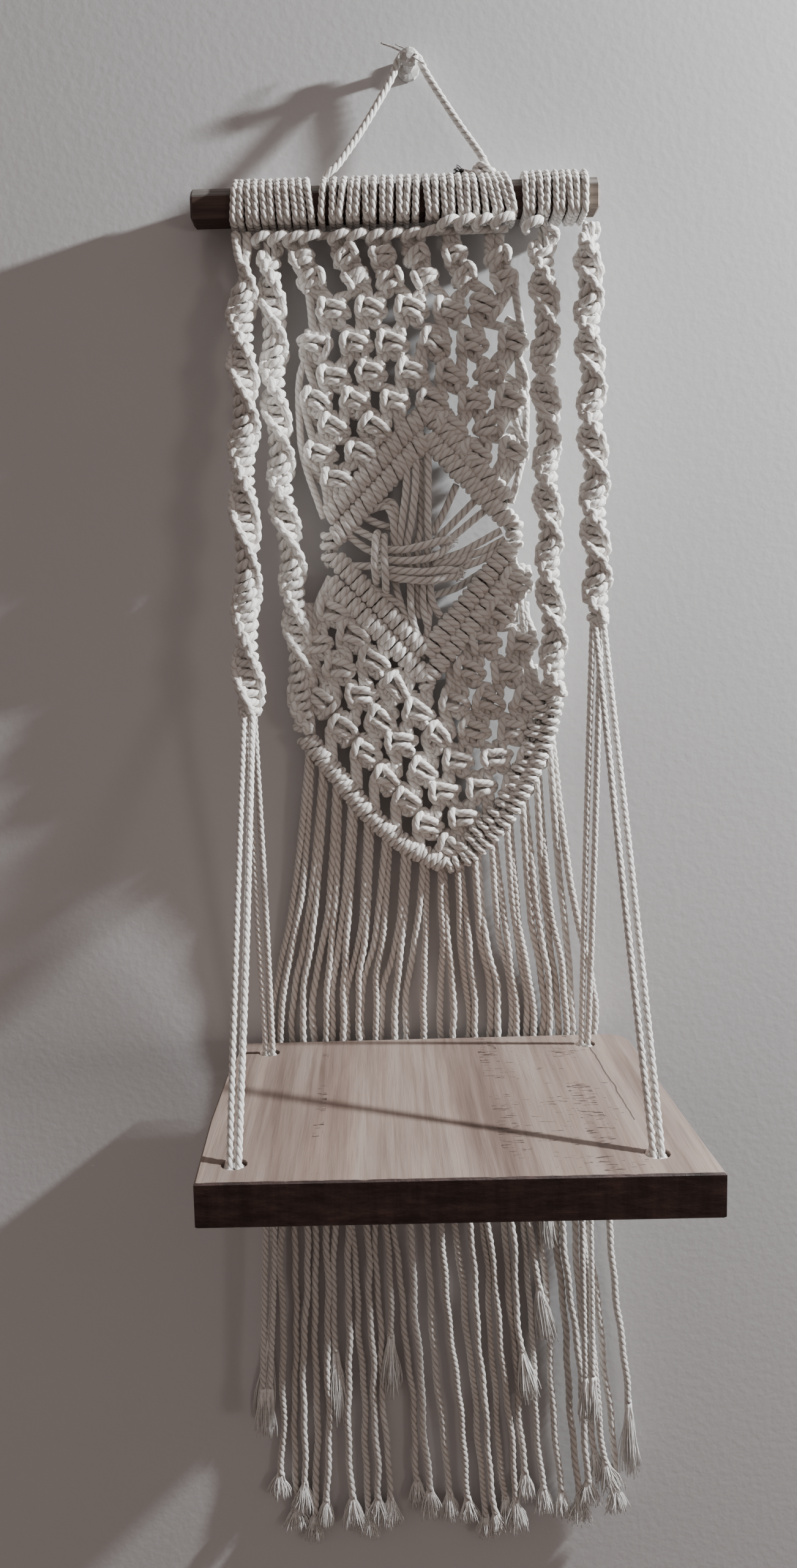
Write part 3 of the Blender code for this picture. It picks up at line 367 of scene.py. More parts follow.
def fray(skin, end, heading, length, spread, tone, plies=3, fibres=7, radius=0.34):
    """Loose plies and fibres that open out of a cord's cut end like a brush."""
    heading = unit(heading)
    side = unit(np.cross(heading, (0, 1, 0)))
    front = np.cross(heading, side)
    steps = np.linspace(0, 1, 6)[:, None]
    for k in range(plies):
        turn = 2 * pi * (k + RNG.uniform(-0.2, 0.2)) / plies
        out = side * cos(turn) + front * sin(turn) * 0.55
        reach = length * RNG.uniform(0.35, 0.6)
        wave = np.sin(steps * RNG.uniform(4, 8) + turn) * side * 0.4
        path = end + heading * steps * reach + out * (0.8 + spread * 0.30 * steps ** 1.3) + wave
        path[:, 1] = np.minimum(path[:, 1], -PLY_R - 0.15)       # clear of the wall
        skin.cord(path, PLY_R, 5, 30, 0, np.linspace(1, 0.5, 6), tone, (1,))
    for _ in range(plies * fibres):
        turn = RNG.uniform(0, 2 * pi)
        wide = sqrt(RNG.uniform(0, 1))
        out = (side * cos(turn) + front * sin(turn) * 0.6) * wide
        far = length * RNG.uniform(0.72, 1)
        opened = 0.9 + (spread - 0.9) * np.sin(np.minimum(steps * 1.7, pi / 2)) ** 1.4
        bend = side * RNG.normal(0, 0.45) * np.sin(steps * RNG.uniform(3, 9))
        drift = side * RNG.normal(0, 0.12 * spread) * steps ** 2
        fibre = end + heading * steps * far + out * opened + bend + drift
        fibre[:, 1] = np.minimum(fibre[:, 1], -0.5)
        skin.thread(fibre, radius, tone, 0.7)


# ---- materials ----
def operator(operation):
    """A method that puts a Math node after a field and another value."""
    return lambda field, other: field.nodes.maths(operation, field, other)


class Field:
    """A value that varies over a surface; arithmetic on it adds Math nodes."""

    __add__ = operator("ADD")
    __sub__ = operator("SUBTRACT")
    __mul__ = operator("MULTIPLY")
    __gt__ = operator("GREATER_THAN")
    __lt__ = operator("LESS_THAN")
    __or__ = operator("MAXIMUM")

    def __init__(self, nodes, socket):
        self.nodes, self.socket = nodes, socket

    def __rsub__(self, other):
        return self.nodes.maths("SUBTRACT", other, self)

    def __abs__(self):
        return self.nodes.maths("ABSOLUTE", self)


class Nodes:
    """The node tree of a material or of the world."""

    def __init__(self, tree):
        self.tree = tree

    def feed(self, socket, value):
        """Link a field to a socket, or set it to a number, a colour or a vector."""
        if isinstance(value, Field):
            self.tree.links.new(value.socket, socket)
        else:
            socket.default_value = (*value, 1) if socket.type == "RGBA" else value

    def add(self, kind, output, inputs, **settings):
        """One node with its settings and inputs; gives one of its outputs."""
        node = self.tree.nodes.new("ShaderNode" + kind)
        for key, value in settings.items():
            setattr(node, key, value)
        for key, value in inputs.items():
            self.feed(node.inputs[key], value)
        return Field(self, node.outputs[output])

    def maths(self, operation, *values):
        return self.add("Math", 0, dict(enumerate(values)), operation=operation)

    def axes(self, space="Object"):
        """The three coordinates of a place."""
        node = self.tree.nodes.new("ShaderNodeSeparateXYZ")
        self.feed(node.inputs[0], self.add("TexCoord", space, {}))
        return [Field(self, socket) for socket in node.outputs]

    def noise(self, scale, detail=2, rough=0.5, stretch=(1, 1, 1), shift=(0, 0, 0), vector=None):
        """Noise over the object, finer along an axis with a larger stretch, or over a vector."""
        if vector is None:
            spot = self.add("TexCoord", "Object", {})
            vector = self.add("Mapping", "Vector", {"Vector": spot, "Scale": stretch, "Location": shift})
        inputs = {"Vector": vector, "Scale": scale, "Detail": detail, "Roughness": rough}
        return self.add("TexNoise", "Fac", inputs)

    def ramp(self, value, *stops):
        """Colours at stops (place, colour) of a value."""
        node = self.tree.nodes.new("ShaderNodeValToRGB")
        elements = node.color_ramp.elements
        while len(elements) < len(stops):
            elements.new(0.5)
        for element, (place, colour) in zip(elements, stops):
            element.position = place
            element.color = (*colour, 1)
        self.feed(node.inputs["Fac"], value)
        return Field(self, node.outputs["Color"])

    def blend(self, kind, amount, first, second):
        return self.add("Mix", "Result", {"Factor": amount, "A": first, "B": second},
                        data_type="RGBA", blend_type=kind)

    def bump(self, height, distance, strength=1, **normal):
        inputs = {"Distance": distance, "Strength": strength, "Height": height, **normal}
        return self.add("Bump", "Normal", inputs)


class Finish(Nodes):
    """A procedural material."""

    def __init__(self, name, roughness):
        self.material = bpy.data.materials.new(name)
        self.material.use_nodes = True
        super().__init__(self.material.node_tree)
        self.shader = self.tree.nodes["Principled BSDF"]
        self.set("Roughness", roughness)

    def set(self, key, value):
        self.feed(self.shader.inputs[key], value)


def cotton(name, light, shade, groove_depth):
    """Off-white cotton: grooves between the plies with painted shade in them, fibre streaks and a mottled
    tone.
    """
    made = Finish(name, 0.95)
    ply, run, tone = (made.add("Attribute", "Fac", {}, attribute_name=key) for key in Skin.LAYERS)
    low = 1 - abs(made.maths("FRACT", ply) - 0.5) * 2
    round_ply = made.maths("SQRT", 1 - made.maths("POWER", low, 2) * 0.92)
    streak = made.add("CombineXYZ", 0, {0: ply * 9, 1: run * 0.45, 2: tone * 37})
    fibre = made.noise(1.3, 3, 0.6, vector=streak)
    fine = made.noise(700, 2, 0.6)
    mottle = made.noise(26, 3, 0.55)
    middle = tuple(0.5 * (a + b) for a, b in zip(shade, light))
    # painted shade: the colour goes from light on the ply crests to shade in the grooves between them
    base = made.ramp(round_ply, (0.30, shade), (0.62, middle), (0.95, light))
    # low tones darken to a warm brown; on the fringe cords this is painted shade
    tint = made.ramp(tone * 0.5 + mottle * 0.5, (0.15, (0.74, 0.70, 0.67)), (0.75, WHITE))
    flecks = made.ramp(fibre, (0.25, (0.84, 0.82, 0.80)), (0.60, WHITE))
    made.set("Base Color", made.blend("MULTIPLY", 0.8, made.blend("MULTIPLY", 1, base, tint), flecks))
    groove = made.bump(round_ply, groove_depth, 0.9)
    made.set("Normal", made.bump(fibre + fine * 0.5, 0.00022, 0.8, Normal=groove))
    made.set("Sheen Weight", 0.25)
    made.set("Sheen Roughness", 0.6)
    made.set("Specular IOR Level", 0.15)
    return made.material


def board_wood():
    """Sawn board: grain from front to back, rows of small dark tears, a crack and a dark front edge."""
    made = Finish("board_wood_fine", 0.62)
    x, y, z = made.axes()
    bands = made.noise(27, 4, 0.6, (1, 0.06, 0.6))
    clouds = made.noise(16, 3, 0.5, (1, 0.5, 1))
    grain = made.noise(420, 4, 0.75, (1, 0.030, 1), (0.3, 0, 0))
    rings = made.noise(95, 3, 0.6, (1, 0.045, 1), (0.7, 0, 0))
    top = made.ramp(bands, (0.28, (0.155, 0.108, 0.090)), (0.43, (0.235, 0.175, 0.149)),
                    (0.56, (0.305, 0.242, 0.209)), (0.74, (0.200, 0.142, 0.119)))
    for amount, value, *stops in (
            (0.6, grain, (0.34, (0.60, 0.55, 0.52)), (0.56, WHITE)),
            (0.8, rings, (0.36, (0.74, 0.69, 0.66)), (0.50, WHITE), (0.62, (1.10, 1.07, 1.05))),
            (0.7, clouds, (0.3, (0.86, 0.83, 0.82)), (0.7, (1.10, 1.08, 1.06)))):
        top = made.blend("MULTIPLY", amount, top, made.ramp(value, *stops))

    tears = made.noise(400, 1, 0.5, (0.45, 2.5, 1), (0.02, 0.05, 0))
    marks = 0
    for middle, half, limit in TEAR_ROWS:
        marks = (abs(x - middle) < half) * (tears > limit) | marks
    marks = marks * (made.noise(34, 1, 0.5, (0.4, 1, 1), (0.3, 0, 0)) > 0.47)
    wander = (made.noise(40, 3, 0.5, (0, 1, 0)) - 0.5) * 0.005
    crack_line = 0.0838 - y * 0.025 + wander
    crack = (abs(x - crack_line) < 0.0004) * (y > -0.125)
    # a thin dark line running left from the rear left hole to the board's left end
    rear_left_line = (abs(y + 0.0262) < 0.0004) * (x < -0.0830)
    marks = marks * 0.9 | (crack | rear_left_line) * 0.75
    top = made.blend("MIX", marks, top, (0.045, 0.026, 0.020))

    bark = made.noise(90, 5, 0.7, (0.6, 1, 2.2))
    saw = made.noise(160, 3, 0.7, (1, 1, 0.10), (0.1, 0, 0))
    dark = made.ramp(bark, (0.30, (0.024, 0.013, 0.011)), (0.55, (0.064, 0.037, 0.032)),
                     (0.75, (0.130, 0.080, 0.070)))
    lit = made.ramp(saw, (0.35, (0.55, 0.5, 0.5)), (0.65, (1.25, 1.2, 1.2)))
    dark = made.blend("MULTIPLY", 0.6, dark, lit)
    ragged = made.noise(75, 3, 0.5, (1, 0, 0)) * 0.0022
    front = y < (x * -0.0188 - 0.17665) - (ragged - 0.0013)     # the board's front runs a little askew
    below = z < -0.4947
    sides = made.blend("MIX", below * 0.6, top, (0.10, 0.062, 0.048))
    made.set("Base Color", made.blend("MIX", front, sides, dark))
    made.set("Roughness", grain * 0.25 + 0.52)
    made.set("Normal", made.bump(grain * 0.4 + bark * front * 2 - marks, 0.0006, 0.8))
    return made.material


def bar_wood():
    """Dark stained bar with long grain, paler along its top and at its right end."""
    made = Finish("bar_wood_fine", 0.68)
    x, y, z = made.axes()
    grain = made.noise(420, 4, 0.65, (0.05, 1, 1))
    patch = made.noise(60, 3, 0.5, (0.5, 1, 1))
    dark, tan, grey = (made.ramp(grain, (0.30, low), (0.70, high)) for low, high in BAR_TONES)
    right = x > 0.070
    # the top of the bar, down to half its bevelled front edge, is paler
    pale_top = z - x * BAR_SLOPE + patch * 0.002 > -0.0630
    colour = made.blend("MIX", right * 0.85, dark, tan)
    made.set("Base Color", made.blend("MIX", pale_top * 0.85, colour, grey))
    made.set("Normal", made.bump(grain, 0.0005, 0.6))
    return made.material


def peg_paint():
    """Peg under several coats of wall paint."""
    made = Finish("peg_paint_fine", 0.55)
    patch = made.noise(420, 3)
    made.set("Base Color", made.ramp(patch, (0.3, (0.42, 0.40, 0.38)), (0.6, (0.66, 0.65, 0.63))))
    made.set("Normal", made.bump(patch, 0.0005, 0.6))
    return made.material


def singed():
    """Burnt cotton."""
    made = Finish("singed_end", 0.9)
    soot = made.noise(900, 2)
    made.set("Base Color", made.ramp(soot, (0.3, (0.006, 0.005, 0.005)), (0.75, (0.06, 0.045, 0.035))))
    return made.material


def plain(name, colour, roughness):
    """A slightly mottled backdrop colour."""
    made = Finish(name, roughness)
    low = tuple(0.94 * c for c in colour)
    made.set("Base Color", made.ramp(made.noise(3, 4), (0.3, low), (0.7, colour)))
    return made


# the second colour is painted shade in the grooves between the plies, fainter in cotton_soft
COTTON = cotton("cotton_fine", (0.93, 0.915, 0.89), (0.52, 0.46, 0.41), 0.0005)
SOFT = cotton("cotton_soft", (0.93, 0.915, 0.89), (0.66, 0.60, 0.55), 0.0003)


# ---- bar: turns and ties ----
def rise(x):
    """How much higher the bar hangs at x than at its left end."""
    return BAR_SLOPE * (x - BAR_LEFT)


def round_bar(offset, arc=5):
    """Closed line round the bar at a distance, as (y, z), from the middle of its underside."""
    corners = [(BAR_FRONT, BAR_BOTTOM), (BAR_FRONT, BAR_TOP - BAR_WANE), (BAR_FRONT + BAR_WANE, BAR_TOP),
               (BAR_BACK, BAR_TOP), (BAR_BACK, BAR_BOTTOM)]
    line = [((BAR_FRONT + BAR_BACK) / 2, BAR_BOTTOM - offset)]
    slant = sqrt(0.5)
    headings = [(0, -1), (-1, 0), (-slant, slant), (0, 1), (1, 0), (0, -1)]
    for (y, z), before, after in zip(corners, headings, headings[1:]):
        for k in range(arc + 1):
            mix = unit(np.array(before) * (1 - k / arc) + np.array(after) * (k / arc))
            line.append((y + mix[0] * offset, z + mix[1] * offset))
    return np.array(line + line[:1])


def turn_round_bar(x_top, x_low, offset=BAR_GAP, pull=0):
    """One turn of cord round the bar; near its underside it bends by pull towards its neighbour."""
    line = round_bar(offset)
    share = np.clip((line[:, 1] - BAR_BOTTOM) / (BAR_TOP - BAR_BOTTOM), 0, 1)
    x = x_low + (x_top - x_low) * share ** 1.5
    x = x + pull * (np.exp(-(share / 0.16) ** 2) - 0.5 * np.exp(-((share - 0.40) / 0.22) ** 2))
    return even(np.column_stack([x, line[:, 0], line[:, 1] + rise(x)]), 1.3)


def make_wraps():
    skin = Skin()
    for node, left, right, leans in WRAP_GROUPS:
        pitch = (right - left) / len(leans)
        for i, lean in enumerate(leans):
            x = left + (i + 0.5) * pitch + RNG.normal(0, 0.06)
            pull = 0.42 if i % 2 == 0 else -0.42
            if i == len(leans) - 1 and len(leans) % 2:
                pull = 0
            if node == "bar_wraps_1":
                pull *= 0.5
            route = turn_round_bar(x + lean, x, BAR_GAP + RNG.uniform(-0.1, 0.15), pull)
            skin.cord(route, min(CORD_R, pitch * 0.52), twist=TWIST * RNG.uniform(0.9, 1.1))
    skin.build("bar_cord_turns", COTTON, *[group[0] for group in WRAP_GROUPS])


def make_hanging_cord():
    """The cord over the peg with its two ties, its singed end and the yarn on the peg."""
    skin = Skin()
    skin.cord(turn_round_bar(TIE_LEFT + 1.6, TIE_LEFT), 1.9)
    skin.cord(turn_round_bar(TIE_RIGHT - 2, TIE_RIGHT), 1.9)

    def tied(x_tie, points):
        """Points near a tie, moved up with the bar there."""
        return [(x, y, z + rise(x_tie)) for x, y, z in points]

    start = tied(TIE_LEFT, [(TIE_LEFT + 1.6, -8.6, -59.6), (TIE_LEFT + 2, -13.6, -56.4),
                            (TIE_LEFT + 4.6, -15.8, -54.2), (TIE_LEFT + 9, -14.4, -49.8)])
    over_peg = [(-22.8, -10.6, -30.5), (-9.4, -8.4, -8.6), (-5, -7.9, 1.4), (-2.2, -7.8, 4.3),
                (0, -7.8, 4.9), (2.4, -7.8, 4.2), (5.2, -7.9, 1.4), (9.3, -8.3, -6.6), (23, -10.8, -28.5)]
    end = tied(TIE_RIGHT, [(33.5, -14.6, -47.2), (36.4, -15.6, -53), (37.2, -16.6, -57.6),
                           (34.4, -18.4, -58.8), (31.2, -17.8, -56.6), (32.6, -14.2, -54.4),
                           (36, -11.8, -56.2), (35.2, -9, -58.6)])
    skin.cord(smooth(start + over_peg + end, 1.3), 1.95, tone=0.9)
    knot = [(38.6, -12.6, -57.6), (40.4, -15.4, -57.2), (38.6, -18.6, -57), (35.2, -18.8, -55.2),
            (33.2, -15.6, -53.6), (34.4, -12.8, -54.6)]
    skin.cord(smooth(tied(TIE_RIGHT, knot), 1.2), 1.9, tone=0.8)
    tail = [(33.4, -12.6, -58.6), (31, -14.6, -57.4), (28, -15.6, -57.3), (25.4, -15.8, -56.9)]
    skin.cord(smooth(tied(TIE_RIGHT, tail), 1.2), 1.8, tone=0.3)
    skin.build("hanging_cord_fine", COTTON, "hanging_cord")

    burnt = Skin()
    tip = np.array((25.6, -15.8, -56.9 + rise(TIE_RIGHT)))
    fray(burnt, tip, np.array((-1, -0.2, 0.1)), 5, 3.4, 0.5, 3, 9, 0.3)
    burnt.build("singed_end", singed())

    yarn = Skin()
    line = [(-13.4, -9, 8.6), (-8, -11.2, 5.6), (-2.4, -12.8, 2.2), (2.4, -15.6, -1.4), (7.6, -14, -3.4)]
    yarn.cord(smooth(line, 1), 0.45, 6, 5, 2, None, 0.8, (1, 0.85))
    stray = [(x + 1.5, y - 0.4, z + 1.2) for x, y, z in line[1:4]]
    yarn.cord(smooth(stray, 1), 0.3, 5, 5, 1, None, 0.8, (1,))
    yarn.build("yarn_on_peg", COTTON)


# ---- knotted bands ----
def make_band(name):
    """Half-knots all tied to one side: two cords form twisting rails joined by rungs over a core."""
    line, half_w, neck, faces = BANDS[name]
    base = smooth(line, 1)
    run = lengths(base)
    length = run[-1]
    faces = [2 * faces[0] - faces[1], *faces, 2 * faces[-1] - faces[-2]]
    half_turns = np.interp(-base[:, 2], [-z for z in faces], np.arange(len(faces)))
    skin = Skin(0.91)

    def spot(s, a, d):
        """The point s along the band, a across its turning width and d in front of it."""
        roll = -pi * float(np.interp(s, run, half_turns))
        side = np.array((cos(roll), -sin(roll), 0))
        front = np.array((-sin(roll), -cos(roll), 0))
        return at_length(base, run, s) + side * a + front * d

    pairs = int((length - neck) / HALF_KNOT / 2)
    wide = half_w / 8             # RAILS are for a band 8 mm to each side
    for hand in (0, 1):
        points = []
        if neck > 8:
            points += [spot(0.5, (-1) ** hand * -3.2, 0.4), spot(neck * 0.5, (-1) ** hand * -2.8, 1)]
        for pair in range(pairs):
            size = RNG.uniform(0.94, 1.06)
            for a, d, knots, more in RAILS:
                s = neck + HALF_KNOT * (2 * pair + 1 + hand + knots) + more + RNG.normal(0, 0.1)
                s = min(max(s, 0.3), length - 0.3)
                points.append(spot(s, a * wide * size, d * RNG.uniform(0.92, 1.08)))
        skin.cord(smooth(points, 1.4), 2.12)
    for side in (-1.7, 1.7):
        core = [spot(s, side, 0) for s in np.arange(0.4, length - 0.3, 3.5)]
        skin.cord(smooth(core, 2.4), 1.8, 6)
    last = length - 2.6
    loops = [spot(last + 1.3 * sin(t + 0.6), 4 * cos(t), 3.6 * sin(t))
             for t in np.linspace(0, 2.1 * pi, 14)]
    skin.cord(smooth(loops, 1.3), 2)
    skin.build(name + "_knots", SOFT, name)


# ---- square-knot nets ----
# A square knot's four cords as (across, front, up): one lays both bars, one stands up beside them,
# and two run straight through the middle.
BAR_CORD = (
    (-3.6, 0.2, 7.4), (-4.9, 0, 5.8), (-4, 1.2, 4.2), (-1.6, 3.7, 3.1), (1.8, 4.4, 2.5), (5, 3.8, 1.5),
    (7.1, 1.6, 0.2), (7.1, 0.2, -1.4), (5.2, 2.2, -2.6), (1.8, 4, -2.6), (-1.8, 3.6, -2.4),
    (-4.2, 1.2, -3), (-5.2, 0, -4.8), (-4, 0.2, -7.2),
)
POST_CORD = (
    (4, 0.6, 7.2), (4.9, 1.8, 6), (5, 1.4, 4.4), (4.2, 0.4, 2.4), (2.4, -1.8, 1.4), (-1, -2.6, 1.6),
    (-3.2, -0.8, 3.6), (-4.4, 2, 5), (-5.3, 4, 3.8), (-5.8, 4.8, 1.6), (-5.8, 4.8, -0.6),
    (-5.4, 4, -2.8), (-4.8, 2, -4.6), (-3.4, -0.8, -4.4), (-1, -2.6, -3.8), (2, -2.5, -3.2),
    (3.9, 0.2, -3.8), (4.9, 2.6, -5), (4.8, 1.6, -6.4), (4, 0.4, -7.4),
)
CORE_LEFT = ((-1.6, 0.2, 6.8), (-1.4, 0.2, 0), (-1.6, 0.2, -7.2))
CORE_RIGHT = tuple((-a, f, u) for a, f, u in CORE_LEFT)


class Net:
    """Knots joined into continuous cords: slots 0 to 3 run from left to right in each knot."""

    def __init__(self):
        self.tracks = {}                        # (knot, slot): the cord's points inside that knot
        self.after, self.before = {}, {}        # which (knot, slot) follows and precedes another

    def knot(self, key, x, z, wide=1, high=1, turn=0, mirror=False):
        turn = radians(turn + RNG.normal(0, 12))
        x += RNG.normal(0, 0.6)
        z += RNG.normal(0, 0.5)
        wide *= RNG.uniform(0.94, 1.05)
        high *= RNG.uniform(0.95, 1.05)
        front = RNG.uniform(0.95, 1.15)
        tracks = [BAR_CORD, CORE_LEFT, CORE_RIGHT, POST_CORD]
        if mirror:
            tracks = [[(-a, f, u) for a, f, u in track] for track in tracks[::-1]]
        for slot, track in enumerate(tracks):
            points = []
            for a, f, u in track:
                a, u = a * wide, u * high
                px = x + a * cos(turn) + u * sin(turn)
                pz = z - a * sin(turn) + u * cos(turn)
                stray = RNG.normal(0, 0.32, 3)
                points.append(np.array((px, panel_y(pz, px) - f * front - 0.2, pz)) + stray)
            self.tracks[key, slot] = points

    def join(self, upper, slot_up, lower, slot_low):
        up, low = (upper, slot_up), (lower, slot_low)
        if up in self.tracks and low in self.tracks and up not in self.after and low not in self.before:
            self.after[up] = low
            self.before[low] = up

    def lay(self, skin, head, tail):
        """Every cord of the net; head and tail give the points beyond its loose ends."""
        for start in self.tracks:
            if start in self.before:
                continue
            points = head(start, *self.tracks[start][0])
            at = start
            while at is not None:
                points += self.tracks[at]
                last = at
                at = self.after.get(at)
            points += tail(*self.tracks[last][-1])
            skin.cord(smooth(points, 1.35), NET_R)


def loose_end(x, z, stop, inset):
    """The last two points of a cord from a knot at z to a bar at the height stop."""
    half = (z + stop) / 2
    return [(x, panel_y(half, x) - 0.3, half), (x, panel_y(stop, x) + inset, stop)]


def link_rows(net, rows):
    """Join rows of knots; rows hold (row, number) keys whose neighbours differ by one in number."""
    keys = {key for row in rows for key in row}
    for row in rows:
        for r, n in row:
            for side, slots, entries in ((1, (2, 3), (0, 1)), (-1, (0, 1), (2, 3))):
                if (r + 1, n + side) in keys:
                    for a, b in zip(slots, entries):
                        net.join((r, n), a, (r + 1, n + side), b)
                elif (r + 2, n) in keys:
                    edge = slots[1] if side > 0 else slots[0]
                    net.join((r, n), edge, (r + 2, n), edge)


def make_upper_net(skin):
    net = Net()
    rows = [[(0, 2 * i) for i in range(len(FIRST_ROW))]]
    for i, (x, z, turn) in enumerate(FIRST_ROW):
        # two knots, one under the other
        net.knot((-1, 2 * i), x - 1.5, z + 2.6, 0.78, 0.70, turn, i % 2 == 1)
        net.knot((0, 2 * i), x + 2.6, z - 7.6, 0.84, 0.70, turn, i % 2 == 0)
        for slot in range(4):
            net.join((-1, 2 * i), slot, (0, 2 * i), slot)
    for r, (z, first, count) in enumerate(UPPER_ROWS, 1):
        row = []
        for i in range(count):
            x = first + i * UPPER_PITCH
            if z < height_on(DIAMOND["upper_outer"], x) + 4.5 or not -52 < x < 52:
                continue
            key = (r, 2 * i + (1 if count == 5 else 0))
            net.knot(key, x, z, 1.04, 0.86, 13, RNG.uniform() < MIRRORED)
            row.append(key)
        rows.append(row)
    link_rows(net, rows)

    def head(at, x, y, z):
        if at[0][0] == -1:
            return [(x, panel_y(-88) - 0.4, -83.5)]
        return [(x + (5 if x < 5 else -5), y + 3.2, z + 7), (x, y + 1.8, z + 3)]

    def tail(x, y, z):
        low = height_on(DIAMOND["upper_outer"], x) + 0.5
        inward = 1 if x < 5 else -1
        if z - low > 16:
            return [(x + 2.5 * inward, y + 2.4, z - 4.5), (x + 5.5 * inward, y + 3.2, z - 9)]
        half = (z + low) / 2
        return [(x + 0.5 * inward, panel_y(half, x) - 0.3, half), (x, panel_y(low, x) + 0.2, low)]

    net.lay(skin, head, tail)


def make_lower_net(skin):
    net = Net()
    rows = []
    for r in range(LOWER_ROWS):
        row = []
        for n in range(-6, 7):
            if (n + r) % 2:
                continue
            x = -2.1 + 1.2 * (r - 4) + n * LOWER_PITCH / 2
            z = LOWER_FIRST - LOWER_STEP * r + 0.2 * min(x, 18)
            above = height_on(DIAMOND["lower_outer"], x) - 5.5
            below = height_on(HEM, x) + 5
            if not -54 < x < 60 or z > above or z < below:
                continue
            net.knot((r, n), x, z, 1.06, 1, 14 if x < 10 else 8, RNG.uniform() < MIRRORED)
            row.append((r, n))
        rows.append(row)
    link_rows(net, rows)

    def head(at, x, y, z):
        top = height_on(DIAMOND["lower_outer"], x) - 0.5
        if top - z > 18:
            top = z + 14
        return loose_end(x, z, top, 0.2)[::-1]

    def tail(x, y, z):
        low = height_on(HEM, x) + 0.5
        if z - low > 18:
            low = z - 14
        return loose_end(x, z, low, 0.4)

    net.lay(skin, head, tail)


# ---- hitched bars ----
def coil(skin, line, pitch, half_across, half_depth, lean=0, radius=CORD_R, forward=0, uneven=0.12,
         recessed=True):
    """A cord wound closely round a carrier that follows (x, z) points on the panel."""
    base = smooth([(x, panel_y(z, x if recessed else -60) - forward, z) for x, z in line], 1)
    run = lengths(base)
    heading = unit(np.gradient(base, axis=0))
    front = np.array((0, -1, 0))
    turns = max(1, round(run[-1] / pitch))
    parts = 10                      # points in one turn
    points = []
    for k in range(turns):
        size = 1 + RNG.normal(0, uneven * 0.4)
        shift = RNG.normal(0, uneven)
        pair = 0.28 if k % 2 == 0 else -0.28
        for part in range(parts):
            phi = 2 * pi * part / parts
            s = (k + part / parts) / turns * run[-1] + lean * cos(phi) + shift + pair * sin(phi)
            s = min(max(s, 0), run[-1])
            across = unit(np.cross(at_length(heading, run, s), front))
            points.append(at_length(base, run, s) + across * half_across * size * cos(phi)
                          + front * half_depth * sin(phi))
    skin.cord(smooth(points, 1.3), radius)
    skin.cord(smooth(base[::6], 3), 1.7, 6)


def diamond_bars(skin, names, lean):
    for name in names:
        middle, left, right = DIAMOND[name]
        for line in ((left, middle), (middle, right)):
            coil(skin, line, *BAR_COIL, lean, CORD_R * 1.04, forward=0.6)


def edge_cords(skin, edges):
    for line in edges:
        skin.cord(smooth([(x, panel_y(z, x) - 0.8, z) for x, z in line], 1.5), CORD_R * 0.96)


def make_header(skin):
    """Slanted lumps of the panel's first hitches over the cord they are tied on."""
    carrier = [(-58, -16.4, -83.4), (-20, -16.4, -83), (8, -17, -82.4), (47, -17.6, -81.6)]
    skin.cord(smooth(carrier, 1.6), 1.9)
    for x, y, z in HEADER:
        reach = RNG.uniform(0.82, 1.08)
        lump = [(-2.8, 4.6, -3), (-4.2, 1.6, -2), (-3, -0.3, -1.1), (0, -0.9, 0), (2.8, -0.5, 1),
                (4.2, 1.2, 1.2), (3.4, 4.2, 0.6)]
        path = smooth([(x + a * reach, y + f, z + u) for a, f, u in lump], 1.2)
        swell = 1 + 0.2 * np.sin(np.linspace(0, pi, len(path)))
        skin.cord(path, 1.95, twist=9, shape=swell)


def make_panel():
    upper = Skin(0.93)
    make_upper_net(upper)
    make_header(upper)
    diamond_bars(upper, ("upper_outer", "upper_inner"), -0.8)
    edge_cords(upper, UPPER_EDGES)
    upper.build("panel_upper", SOFT, "macrame_panel")

    lower = Skin(0.93)
    make_lower_net(lower)
    diamond_bars(lower, ("lower_inner", "lower_outer"), 0.8)
    for x, top, low in ((-44.6, -226.5, -242), (50, -222, -237.5)):       # the diamond's side corners
        coil(lower, ((x, top), (x - 0.6, (top + low) / 2), (x, low)), 5.2, 3, 2.7, 1.2, forward=0.3)
    coil(lower, ((2.6, -299), (3.4, -309)), 4.5, 2.4, 2.6, 1, 1.9, 0.8)
    edge_cords(lower, LOWER_EDGES)
    lower.build("panel_lower", SOFT)

    woven = Skin()
    for name, line in WEAVE.items():
        path = smooth([(x, panel_y(z, x) - 1.25 * f - 0.4, z) for x, f, z in line], 1.3)
        woven.cord(path, CORD_R, twist=13, valley=(1, 0.93, 0.93))
        if name in FRAYED_WEAVE:
            fray(woven, path[-1], path[-1] - path[-4], 5.5, 3, 0.9, 3, 5, 0.25)
    plane = panel_y(-250, 20)
    curl = [(19.2, plane - 6, -251.8), (21.6, plane - 8, -249.4), (22.6, plane - 8.4, -247),
            (21.4, plane - 8, -244.6)]
    woven.cord(smooth(curl, 1), 0.4, 5, 5, 1, None, 1, (1,))
    woven.build("woven_middle", COTTON)


